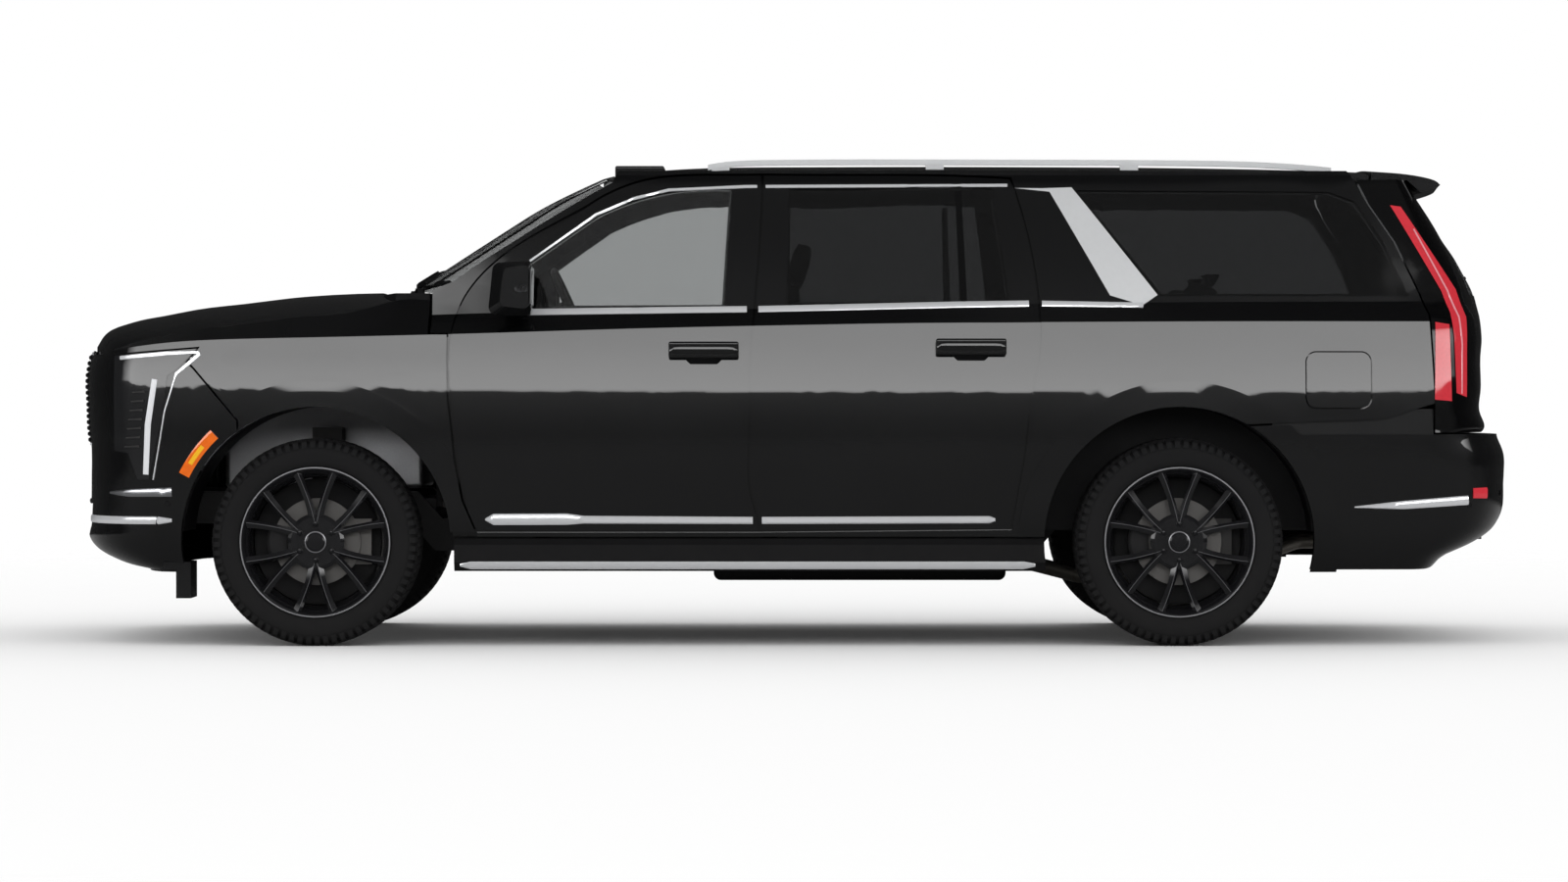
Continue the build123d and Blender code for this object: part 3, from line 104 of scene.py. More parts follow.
class Side(Enum):
    """Side of the vehicle, by the sign of Y."""

    LEFT = -1
    RIGHT = 1

    @property
    def word(self) -> str:
        """Name used in node and piece names."""
        return self.name.lower()

    @property
    def letter(self) -> str:
        """Letter that ends the names of the bodies."""
        return self.word[0]


class Axle(Enum):
    """Axle, by its word in the node names."""

    FRONT = "front"
    REAR = "rear"


class Look(Enum):
    """Kinds of shader that a finish can use."""

    SOLID = "solid"
    GLASS = "glass"
    LIGHT = "light"


@dataclass(frozen=True)
class Finish:
    """One surface finish.

    Attributes:
        name: Material name.
        color: Linear base colour.
        roughness: Mean roughness.
        metallic: Metallic weight.
        look: Kind of shader.
        coat: Clear coat weight.
        ior: Index of refraction.
        grain: Size of the surface grain, in metres.
        bump: Height of the grain, in metres.
        vary: Share by which the grain changes the colour.
        dust: Strength of the dust low on the vehicle.
        wear: Strength of the light worn edges.
        glow: Emission strength.
    """

    name: str
    color: Color
    roughness: float = 0.4
    metallic: float = 0.0
    look: Look = Look.SOLID
    coat: float = 0.0
    ior: float = 1.45
    grain: float = 0.01
    bump: float = 0.0
    vary: float = 0.1
    dust: float = 0.0
    wear: float = 0.0
    glow: float = 0.0


PAINT = Finish("black_paint", (0.0022, 0.0023, 0.0026), 0.3, coat=1.0, grain=0.0016, vary=0.35)
GLOSS = Finish("gloss_black", (0.002, 0.002, 0.0022), 0.12, coat=0.6, grain=0.004, vary=0.2)
CHROME = Finish("bright_trim", (0.80, 0.81, 0.83), 0.2, 0.45, grain=0.03, vary=0.05)
SILVER = Finish("silver_trim", (0.60, 0.61, 0.62), 0.35, 0.15, coat=0.5, grain=0.02, vary=0.06)
SATIN = Finish("satin_alloy", (0.5, 0.51, 0.53), 0.3, 1.0, grain=0.01, vary=0.08)
PLASTIC = Finish("black_plastic", (0.006, 0.006, 0.0065), 0.55, grain=0.0012, bump=0.0002, vary=0.3, dust=0.08)
MESH_BLACK = Finish("grille_black", (0.006, 0.006, 0.007), 0.28, coat=0.4, grain=0.002, vary=0.2)
RUBBER = Finish("tyre_rubber", (0.010, 0.010, 0.0105), 0.75, grain=0.003, bump=0.0003, vary=0.3, dust=0.12)
WHEEL = Finish("wheel_alloy", (0.008, 0.008, 0.009), 0.22, coat=1.0, grain=0.002, vary=0.25)
EDGE = Finish("machined_edge", (0.20, 0.20, 0.21), 0.25, 0.4, grain=0.01, vary=0.1)
IRON = Finish("cast_iron", (0.035, 0.034, 0.033), 0.5, 0.6, grain=0.004, bump=0.0004, vary=0.4, dust=0.15,
              wear=0.2)
STEEL = Finish("frame_steel", (0.014, 0.014, 0.015), 0.5, grain=0.006, bump=0.0003, vary=0.4, dust=0.2, wear=0.1)
ENGINE = Finish("engine_alloy", (0.32, 0.32, 0.33), 0.45, 0.8, grain=0.004, bump=0.0003, vary=0.3, dust=0.2)
EXHAUST = Finish("exhaust_steel", (0.3, 0.28, 0.25), 0.38, 0.9, grain=0.01, bump=0.0002, vary=0.4, dust=0.2)
LEATHER = Finish("leather", (0.018, 0.017, 0.017), 0.5, grain=0.0035, bump=0.0001, vary=0.15)
SCREEN = Finish("dash_screen", (0.004, 0.004, 0.006), 0.08, coat=1.0, grain=0.01, vary=0.1)
PLATE = Finish("blank_plate", (0.55, 0.55, 0.55), 0.4, grain=0.01, vary=0.08)
CLEAR = Finish("front_glass", (0.52, 0.53, 0.53), 0.0, look=Look.GLASS)
DARK = Finish("dark_glass", (0.12, 0.122, 0.124), 0.0, look=Look.GLASS)
LENS = Finish("lamp_lens", (0.012, 0.0122, 0.013), 0.15, coat=1.0, grain=0.004, vary=0.5)
RED_LENS = Finish("red_lens", (0.62, 0.035, 0.05), 0.06, coat=1.0, grain=0.012, vary=0.25)
ROSE_LENS = Finish("rose_lens", (0.78, 0.30, 0.34), 0.1, coat=1.0, grain=0.012, vary=0.2)
AMBER = Finish("amber_lens", (0.90, 0.16, 0.01), 0.12, coat=1.0, grain=0.02, vary=0.3)
AMBER_CORE = Finish("amber_core", (0.98, 0.52, 0.02), 0.12, coat=1.0, grain=0.02, vary=0.2)
LAMP_STRIP = Finish("lamp_strip", (0.66, 0.67, 0.69), 0.25, look=Look.LIGHT, grain=0.01, vary=0.05, glow=0.12)
MIRROR_GLASS = Finish("mirror_glass", (0.75, 0.76, 0.78), 0.02, 1.0, grain=0.05, vary=0.02)

SLOT_FINISH = {
    "paint": PAINT, "gloss_black": GLOSS, "front_glass": CLEAR, "dark_glass": DARK, "lamp_lens": LENS,
    "red_lens": RED_LENS, "bright_trim": CHROME, "black_plastic": PLASTIC, "tyre": RUBBER,
    "wheel_alloy": WHEEL, "cast_iron": IRON, "frame_steel": STEEL, "engine_alloy": ENGINE,
    "exhaust_steel": EXHAUST, "leather": LEATHER,
}
NODE_FINISH = {"pillar_blades": SILVER, "roof_rails": SILVER, "grille": MESH_BLACK}


def link(tree: bpy.types.NodeTree, source: bpy.types.NodeSocket, target: bpy.types.NodeSocket) -> None:
    """Joins two sockets."""
    tree.links.new(source, target)


class SurfaceGroups:
    """The shader node groups that the finishes share."""

    def __init__(self) -> None:
        """Builds each group once."""
        self.grain = self.build_grain()
        self.dust = self.build_dust()
        self.wear = self.build_wear()

    @staticmethod
    def sockets(tree: bpy.types.NodeTree, inputs: dict[str, tuple[str, object]],
                outputs: dict[str, str]) -> tuple[bpy.types.Node, bpy.types.Node]:
        """Adds named sockets and the group's end nodes.

        Args:
            tree: The group.
            inputs: Name to socket type and default.
            outputs: Name to socket type.

        Returns:
            The input and the output node.
        """
        for name, (kind, value) in inputs.items():
            socket = tree.interface.new_socket(name, in_out="INPUT", socket_type=kind)
            if value is not None:
                socket.default_value = value
        for name, kind in outputs.items():
            tree.interface.new_socket(name, in_out="OUTPUT", socket_type=kind)
        return tree.nodes.new("NodeGroupInput"), tree.nodes.new("NodeGroupOutput")

    def build_grain(self) -> bpy.types.NodeTree:
        """Fine grain: varies a colour and a roughness and gives a height.

        Returns:
            The node group.
        """
        tree = bpy.data.node_groups.new("surface_grain", "ShaderNodeTree")
        start, end = self.sockets(
            tree,
            {"Color": ("NodeSocketColor", (0.5, 0.5, 0.5, 1)), "Roughness": ("NodeSocketFloat", 0.4),
             "Size": ("NodeSocketFloat", 0.01), "Vary": ("NodeSocketFloat", 0.1)},
            {"Color": "NodeSocketColor", "Roughness": "NodeSocketFloat", "Height": "NodeSocketFloat"})
        place = tree.nodes.new("ShaderNodeTexCoord")
        inverse = self.math(tree, "DIVIDE", 1.0, None)
        link(tree, start.outputs["Size"], inverse.inputs[1])
        fine = self.noise(tree, place, 3.0)
        link(tree, inverse.outputs[0], fine.inputs["Scale"])
        broad = self.noise(tree, place, 2.0)
        broad.inputs["Scale"].default_value = 2.3
        both = self.math(tree, "ADD", None, None)
        link(tree, fine.outputs["Fac"], both.inputs[0])
        link(tree, broad.outputs["Fac"], both.inputs[1])
        signed = self.math(tree, "SUBTRACT", None, 1.0)
        link(tree, both.outputs[0], signed.inputs[0])
        share = self.math(tree, "MULTIPLY", None, None)
        link(tree, signed.outputs[0], share.inputs[0])
        link(tree, start.outputs["Vary"], share.inputs[1])
        factor = self.math(tree, "ADD", None, 1.0)
        link(tree, share.outputs[0], factor.inputs[0])
        scale = tree.nodes.new("ShaderNodeVectorMath")
        scale.operation = "SCALE"
        link(tree, start.outputs["Color"], scale.inputs[0])
        link(tree, factor.outputs[0], scale.inputs["Scale"])
        rough = self.math(tree, "MULTIPLY", None, None)
        link(tree, start.outputs["Roughness"], rough.inputs[0])
        link(tree, factor.outputs[0], rough.inputs[1])
        link(tree, scale.outputs[0], end.inputs["Color"])
        link(tree, rough.outputs[0], end.inputs["Roughness"])
        link(tree, fine.outputs["Fac"], end.inputs["Height"])
        return tree

    def build_dust(self) -> bpy.types.NodeTree:
        """Pale road dust that thins out with height above the road.

        Returns:
            The node group.
        """
        tree = bpy.data.node_groups.new("road_dust", "ShaderNodeTree")
        start, end = self.sockets(
            tree,
            {"Color": ("NodeSocketColor", (0.5, 0.5, 0.5, 1)), "Amount": ("NodeSocketFloat", 0.5),
             "Top": ("NodeSocketFloat", 0.9)},
            {"Color": "NodeSocketColor"})
        place = tree.nodes.new("ShaderNodeTexCoord")
        split = tree.nodes.new("ShaderNodeSeparateXYZ")
        link(tree, place.outputs["Object"], split.inputs[0])
        fall = tree.nodes.new("ShaderNodeMapRange")
        link(tree, split.outputs["Z"], fall.inputs["Value"])
        link(tree, start.outputs["Top"], fall.inputs["From Max"])
        fall.inputs["To Min"].default_value = 0.35
        fall.inputs["To Max"].default_value = 0.0
        cloud = self.noise(tree, place, 5.0)
        cloud.inputs["Scale"].default_value = 9.0
        spread = self.math(tree, "MULTIPLY", None, None)
        link(tree, fall.outputs[0], spread.inputs[0])
        link(tree, cloud.outputs["Fac"], spread.inputs[1])
        amount = self.math(tree, "MULTIPLY", None, None)
        link(tree, spread.outputs[0], amount.inputs[0])
        link(tree, start.outputs["Amount"], amount.inputs[1])
        mix = self.mix_color(tree)
        link(tree, amount.outputs[0], mix.inputs["Factor"])
        link(tree, start.outputs["Color"], mix.inputs["A"])
        mix.inputs["B"].default_value = (0.16, 0.15, 0.135, 1)
        link(tree, mix.outputs["Result"], end.inputs["Color"])
        return tree

    def build_wear(self) -> bpy.types.NodeTree:
        """Light worn edges on cast and forged pieces.

        Returns:
            The node group.
        """
        tree = bpy.data.node_groups.new("edge_wear", "ShaderNodeTree")
        start, end = self.sockets(
            tree,
            {"Color": ("NodeSocketColor", (0.5, 0.5, 0.5, 1)), "Amount": ("NodeSocketFloat", 0.3)},
            {"Color": "NodeSocketColor"})
        geometry = tree.nodes.new("ShaderNodeNewGeometry")
        edge = tree.nodes.new("ShaderNodeMapRange")
        link(tree, geometry.outputs["Pointiness"], edge.inputs["Value"])
        edge.inputs["From Min"].default_value = 0.52
        edge.inputs["From Max"].default_value = 0.62
        amount = self.math(tree, "MULTIPLY", None, None)
        link(tree, edge.outputs[0], amount.inputs[0])
        link(tree, start.outputs["Amount"], amount.inputs[1])
        mix = self.mix_color(tree)
        link(tree, amount.outputs[0], mix.inputs["Factor"])
        link(tree, start.outputs["Color"], mix.inputs["A"])
        mix.inputs["B"].default_value = (0.30, 0.29, 0.28, 1)
        link(tree, mix.outputs["Result"], end.inputs["Color"])
        return tree

    @staticmethod
    def math(tree: bpy.types.NodeTree, operation: str, a: Optional[float], b: Optional[float]) -> bpy.types.Node:
        """Adds a maths node with the given fixed inputs."""
        node = tree.nodes.new("ShaderNodeMath")
        node.operation = operation
        for socket, value in zip(node.inputs, (a, b)):
            if value is not None:
                socket.default_value = value
        return node

    @staticmethod
    def noise(tree: bpy.types.NodeTree, place: bpy.types.Node, detail: float) -> bpy.types.Node:
        """Adds a noise texture that reads object coordinates."""
        node = tree.nodes.new("ShaderNodeTexNoise")
        node.inputs["Detail"].default_value = detail
        link(tree, place.outputs["Object"], node.inputs["Vector"])
        return node

    @staticmethod
    def mix_color(tree: bpy.types.NodeTree) -> "ColorMix":
        """Adds a colour mix and names its colour sockets."""
        node = tree.nodes.new("ShaderNodeMix")
        node.data_type = "RGBA"
        return ColorMix(node)


class ColorMix:
    """A colour mix node, with its colour sockets by name."""

    def __init__(self, node: bpy.types.Node) -> None:
        """Keeps the sockets that belong to the colour mode."""
        self.inputs = {"Factor": node.inputs[0], "A": node.inputs[6], "B": node.inputs[7]}
        self.outputs = {"Result": node.outputs[2]}


class Paintshop:
    """Builds each finish's material once and puts it on meshes."""

    ROUGH = 0.5

    def __init__(self) -> None:
        """Starts with the shared groups and no materials."""
        self.groups = SurfaceGroups()
        self.made: dict[str, bpy.types.Material] = {}

    def material(self, finish: Finish) -> bpy.types.Material:
        """Material of a finish, built on first use.

        Args:
            finish: The finish wanted.

        Returns:
            The material.
        """
        if finish.name not in self.made:
            material = bpy.data.materials.new(finish.name)
            material.use_nodes = True
            build = self.glass if finish.look is Look.GLASS else self.solid
            build(material.node_tree, finish)
            self.made[finish.name] = material
        return self.made[finish.name]

    def place_group(self, tree: bpy.types.NodeTree, group: bpy.types.NodeTree, **values: object) -> bpy.types.Node:
        """Adds a shared group to a material with its own values.

        Args:
            tree: The material's tree.
            group: The group to place.
            **values: Input values by name.

        Returns:
            The group's node.
        """
        node = tree.nodes.new("ShaderNodeGroup")
        node.node_tree = group
        for name, value in values.items():
            node.inputs[name].default_value = value
        return node

    def solid(self, tree: bpy.types.NodeTree, finish: Finish) -> None:
        """Opaque finish: grain, then worn edges and dust where the finish has them.

        Args:
            tree: The material's tree.
            finish: The finish.
        """
        shader = tree.nodes["Principled BSDF"]
        shader.inputs["Metallic"].default_value = finish.metallic
        shader.inputs["IOR"].default_value = finish.ior
        shader.inputs["Coat Weight"].default_value = finish.coat
        shader.inputs["Coat Roughness"].default_value = 0.02
        shader.inputs["Coat IOR"].default_value = 1.5
        if finish.coat or finish.roughness >= self.ROUGH:
            shader.inputs["Specular IOR Level"].default_value = 0.1
        grain = self.place_group(tree, self.groups.grain, Color=(*finish.color, 1), Roughness=finish.roughness,
                                 Size=finish.grain, Vary=finish.vary)
        color = grain.outputs["Color"]
        if finish.wear:
            wear = self.place_group(tree, self.groups.wear, Amount=finish.wear)
            link(tree, color, wear.inputs["Color"])
            color = wear.outputs["Color"]
        if finish.dust:
            dust = self.place_group(tree, self.groups.dust, Amount=finish.dust)
            link(tree, color, dust.inputs["Color"])
            color = dust.outputs["Color"]
        link(tree, color, shader.inputs["Base Color"])
        link(tree, grain.outputs["Roughness"], shader.inputs["Roughness"])
        if finish.look is Look.LIGHT:
            link(tree, color, shader.inputs["Emission Color"])
            shader.inputs["Emission Strength"].default_value = finish.glow
        if finish.bump:
            bump = tree.nodes.new("ShaderNodeBump")
            bump.inputs["Distance"].default_value = finish.bump
            bump.inputs["Strength"].default_value = 1.0
            link(tree, grain.outputs["Height"], bump.inputs["Height"])
            link(tree, bump.outputs["Normal"], shader.inputs["Normal"])

    def glass(self, tree: bpy.types.NodeTree, finish: Finish) -> None:
        """Tinted glass that lets light into the cabin.

        Args:
            tree: The material's tree.
            finish: The finish.
        """
        shader = tree.nodes["Principled BSDF"]
        shader.inputs["Base Color"].default_value = (*finish.color, 1)
        shader.inputs["Roughness"].default_value = finish.roughness
        shader.inputs["Transmission Weight"].default_value = 1.0
        shader.inputs["IOR"].default_value = finish.ior
        path = tree.nodes.new("ShaderNodeLightPath")
        clear = tree.nodes.new("ShaderNodeBsdfTransparent")
        clear.inputs["Color"].default_value = (*finish.color, 1)
        mix = tree.nodes.new("ShaderNodeMixShader")
        link(tree, path.outputs["Is Shadow Ray"], mix.inputs[0])
        link(tree, shader.outputs[0], mix.inputs[1])
        link(tree, clear.outputs[0], mix.inputs[2])
        link(tree, mix.outputs[0], tree.nodes["Material Output"].inputs["Surface"])

    def dress_nodes(self, frame: dict) -> None:
        """Puts a finish on every CAD node, by its material slot.

        Args:
            frame: The loaded frame.
        """
        slots = {row["node"]: row["material_slot"] for row in frame["record"]["subparts"]}
        for name, node in frame["nodes"].items():
            material = self.material(NODE_FINISH.get(name, SLOT_FINISH[slots[name]]))
            if not node.material_slots:
                node.data.materials.append(material)
            for slot in node.material_slots:
                slot.material = material


@dataclass
class Shape:
    """Vertices and faces that are collected before a mesh is made."""

    points: list[Vector] = field(default_factory=list)
    faces: list[tuple[int, ...]] = field(default_factory=list)

    def add(self, points: Iterable[Sequence[float]], faces: Iterable[Sequence[int]]) -> None:
        """Adds points and faces that index those points."""
        base = len(self.points)
        self.points.extend(Vector(p) for p in points)
        self.faces.extend(tuple(base + i for i in face) for face in faces)

    def loft(self, rings: Sequence[Sequence[Sequence[float]]], closed_rings: bool = False) -> None:
        """Skins closed rings of equal length and caps the ends.

        Args:
            rings: Rings of points.
            closed_rings: True where the last ring joins the first.
        """
        n = len(rings[0])
        faces = []
        count = len(rings)
        for i in range(count if closed_rings else count - 1):
            a, b = i * n, ((i + 1) % count) * n
            faces += [(a + j, a + (j + 1) % n, b + (j + 1) % n, b + j) for j in range(n)]
        if not closed_rings:
            faces += [tuple(range(n))[::-1], tuple((count - 1) * n + j for j in range(n))]
        self.add([p for ring in rings for p in ring], faces)

    def brick(self, low: Sequence[float], high: Sequence[float]) -> None:
        """Adds a box between two corners."""
        (x0, y0, z0), (x1, y1, z1) = low, high
        ring = [(x0, y0), (x1, y0), (x1, y1), (x0, y1)]
        self.loft([[(x, y, z) for x, y in ring] for z in (z0, z1)])

    def spin(self, profile: Sequence[Pair], centre: Point, steps: int = 96) -> None:
        """Turns a closed profile of (radius, offset along Y) about the Y axis through a centre.

        Args:
            profile: Points of the closed section.
            centre: Point on the axis.
            steps: Number of steps in the turn.
        """
        rings = []
        for k in range(steps):
            a = math.tau * k / steps
            rings.append([(centre[0] + r * math.cos(a), centre[1] + y, centre[2] + r * math.sin(a))
                          for r, y in profile])
        self.loft(rings, closed_rings=True)

    def mirrored(self) -> "Shape":
        """The same shape on the other side of the vehicle."""
        return Shape([Vector((p.x, -p.y, p.z)) for p in self.points], [face[::-1] for face in self.faces])

    def on(self, side: Side) -> "Shape":
        """The shape, drawn for the left, on the side asked for."""
        return self if side is Side.LEFT else self.mirrored()


class Assembler:
    """Turns shapes into finished pieces that ride on bodies."""

    def __init__(self, frame: dict, shop: Paintshop) -> None:
        """Keeps the frame and the finishes.

        Args:
            frame: The loaded frame.
            shop: The paint shop.
        """
        self.frame = frame
        self.shop = shop
        self.low, self.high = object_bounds()
        self.count = 0

    def piece(self, name: str, shape: Shape, finish: Finish, body: str, slot: str, crease: float = 0.6,
              bevel: float = 0.0) -> bpy.types.Object:
        """Makes one finished piece.

        Args:
            name: Name of the piece.
            shape: Its shape.
            finish: Its finish.
            body: The body it rides on.
            slot: The record's material slot; passed on to finish, which does not use it.
            crease: Angle above which an edge is sharp, in radians.
            bevel: Width of the edge rounding, in metres.

        Returns:
            The new object.
        """
        mesh = bpy.data.meshes.new(name)
        mesh.from_pydata([tuple(p) for p in shape.points], [], shape.faces)
        self.tidy(mesh)
        thing = bpy.data.objects.new(name, mesh)
        bpy.context.scene.collection.objects.link(thing)
        if bevel:
            rounding = thing.modifiers.new("edges", "BEVEL")
            rounding.width = bevel
            rounding.segments = 2
            rounding.limit_method = "ANGLE"
            self.apply(thing)
        return self.finish(thing, finish, body, slot, crease)

    @staticmethod
    def tidy(mesh: bpy.types.Mesh) -> None:
        """Merges doubles and points the faces outwards."""
        bm = bmesh.new()
        bm.from_mesh(mesh)
        bmesh.ops.remove_doubles(bm, verts=bm.verts, dist=1e-6)
        bmesh.ops.dissolve_degenerate(bm, edges=bm.edges, dist=1e-7)
        bmesh.ops.recalc_face_normals(bm, faces=bm.faces)
        bm.to_mesh(mesh)
        bm.free()

    @staticmethod
    def apply(thing: bpy.types.Object) -> None:
        """Turns the evaluated object into its plain mesh and drops the modifiers."""
        bpy.context.view_layer.update()
        graph = bpy.context.evaluated_depsgraph_get()
        mesh = bpy.data.meshes.new_from_object(thing.evaluated_get(graph))
        thing.modifiers.clear()
        thing.data = mesh

    def finish(self, thing: bpy.types.Object, finish: Finish, body: str, slot: str,
               crease: float = 0.6) -> bpy.types.Object:
        """Dresses an object and lets it ride.

        Args:
            thing: The object.
            finish: Its finish.
            body: The body it rides on.
            slot: The record's material slot; not used.
            crease: Angle above which an edge is sharp, in radians.

        Returns:
            The object.
        """
        mesh = thing.data
        for vertex in mesh.vertices:
            vertex.co = [min(max(c, low), high) for c, low, high in zip(vertex.co, self.low, self.high)]
        mesh.materials.clear()
        mesh.materials.append(self.shop.material(finish))
        mesh.polygons.foreach_set("material_index", [0] * len(mesh.polygons))
        mesh.polygons.foreach_set("use_smooth", [True] * len(mesh.polygons))
        mesh.set_sharp_from_angle(angle=crease)
        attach(thing, body)
        self.count += 1
        LOG.info("%s: %d faces on %s", thing.name, len(mesh.polygons), body)
        return thing


class Skin:
    """Outer surface of chosen CAD nodes, found by casting rays."""

    REACH = 4.0

    def __init__(self, frame: dict, *names: str) -> None:
        """Collects the nodes' faces.

        Args:
            frame: The loaded frame.
            *names: The nodes.
        """
        points, faces = [], []
        for name in names:
            mesh = frame["nodes"][name].data
            base = len(points)
            points += [v.co.copy() for v in mesh.vertices]
            faces += [tuple(base + i for i in p.vertices) for p in mesh.polygons]
        self.tree = BVHTree.FromPolygons(points, faces)

    def cast(self, start: Vector, way: Vector) -> Optional[Vector]:
        """First point that a ray meets, or None."""
        return self.tree.ray_cast(start, way)[0]

    def side(self, x: float, z: float) -> Optional[Vector]:
        """Point on the left wall at x and z."""
        hit = self.cast(Vector((x, -self.REACH, z)), Vector((0, 1, 0)))
        return hit if hit and hit.y < -0.3 else None

    def front(self, y: float, z: float) -> Optional[Vector]:
        """Point on the front face at y and z."""
        return self.cast(Vector((-self.REACH, y, z)), Vector((1, 0, 0)))

    def back(self, y: float, z: float) -> Optional[Vector]:
        """Point on the rear face at y and z."""
        return self.cast(Vector((self.REACH, y, z)), Vector((-1, 0, 0)))

    def top(self, x: float, y: float) -> Optional[Vector]:
        """Point on the upper face at x and y."""
        return self.cast(Vector((x, y, self.REACH)), Vector((0, 0, -1)))

    def around(self, centre_x: float, degrees: float, z: float) -> Optional[Vector]:
        """Point of a wrapped end, on a ray that looks at the middle of the vehicle.

        Args:
            centre_x: Where the rays meet, on the centre line.
            degrees: Turn from the end of the vehicle towards its left side.
            z: Height.

        Returns:
            The point, or None.
        """
        a = math.radians(degrees)
        end = -1.0 if centre_x < 0 else 1.0
        way = Vector((end * math.cos(a), -math.sin(a), 0))
        return self.cast(Vector((centre_x, 0, z)) + way * self.REACH, -way)


Locate = Callable[[float, float], Optional[Vector]]


class Ribbon:
    """Raised strips that follow a skin."""

    SECTION = ((-0.5, -0.3), (-0.5, 0.35), (-0.3, 1.0), (0.3, 1.0), (0.5, 0.35), (0.5, -0.3))

    @staticmethod
    def resampled(route: Sequence[tuple[float, float, float]], step: float) -> list[tuple[float, float, float]]:
        """Route points at most a step apart.

        Args:
            route: Points of (u, v, width).
            step: The longest distance between points.

        Returns:
            The denser route.
        """
        out = [tuple(route[0])]
        for a, b in zip(route, route[1:]):
            n = max(1, math.ceil(math.dist(a[:2], b[:2]) / step))
            out += [tuple(p + (q - p) * k / n for p, q in zip(a, b)) for k in range(1, n + 1)]
        return out

    @classmethod
    def along(cls, route: Sequence[tuple[float, float, float]], locate: Locate, proud: float,
              step: float = 0.03, scale: float = 1.0) -> Shape:
        """Strip along a route on a skin.

        Args:
            route: Points of (u, v, width), where u and v are what locate takes.
            locate: Gives the skin's point at u and v.
            proud: How far the strip stands out.
            step: Distance between its sections, in the units of u and v.
            scale: Metres for one unit of u.

        Returns:
            The strip.
        """
        route = cls.resampled(route, step)
        rings = []
        for i, (u, v, width) in enumerate(route):
            before, after = route[max(i - 1, 0)], route[min(i + 1, len(route) - 1)]
            du, dv = (after[0] - before[0]) * scale, after[1] - before[1]
            size = math.hypot(du, dv) or 1.0
            across = (-dv / size, du / size)
            hit = locate(u, v)
            low = locate(u - across[0] * width / 2 / scale, v - across[1] * width / 2)
            high = locate(u + across[0] * width / 2 / scale, v + across[1] * width / 2)
            if hit is None or low is None or high is None:
                continue
            far = locate(u + 0.01 / scale, v) or hit
            span, run = high - low, far - hit
            out = span.cross(run)
            if out.length < 1e-12:
                continue
            out.normalize()
            if out.dot(Vector((hit.x * 0.35, hit.y, 0.0))) < 0 and abs(out.z) < 0.8:
                out.negate()
            if abs(out.z) >= 0.8 and out.z < 0:
                out.negate()
            sag = (high + low - 2 * hit) * 2
            rings.append([hit + span * s + sag * s * s + out * proud * h for s, h in cls.SECTION])
        shape = Shape()
        if len(rings) > 1:
            shape.loft(rings)
        return shape


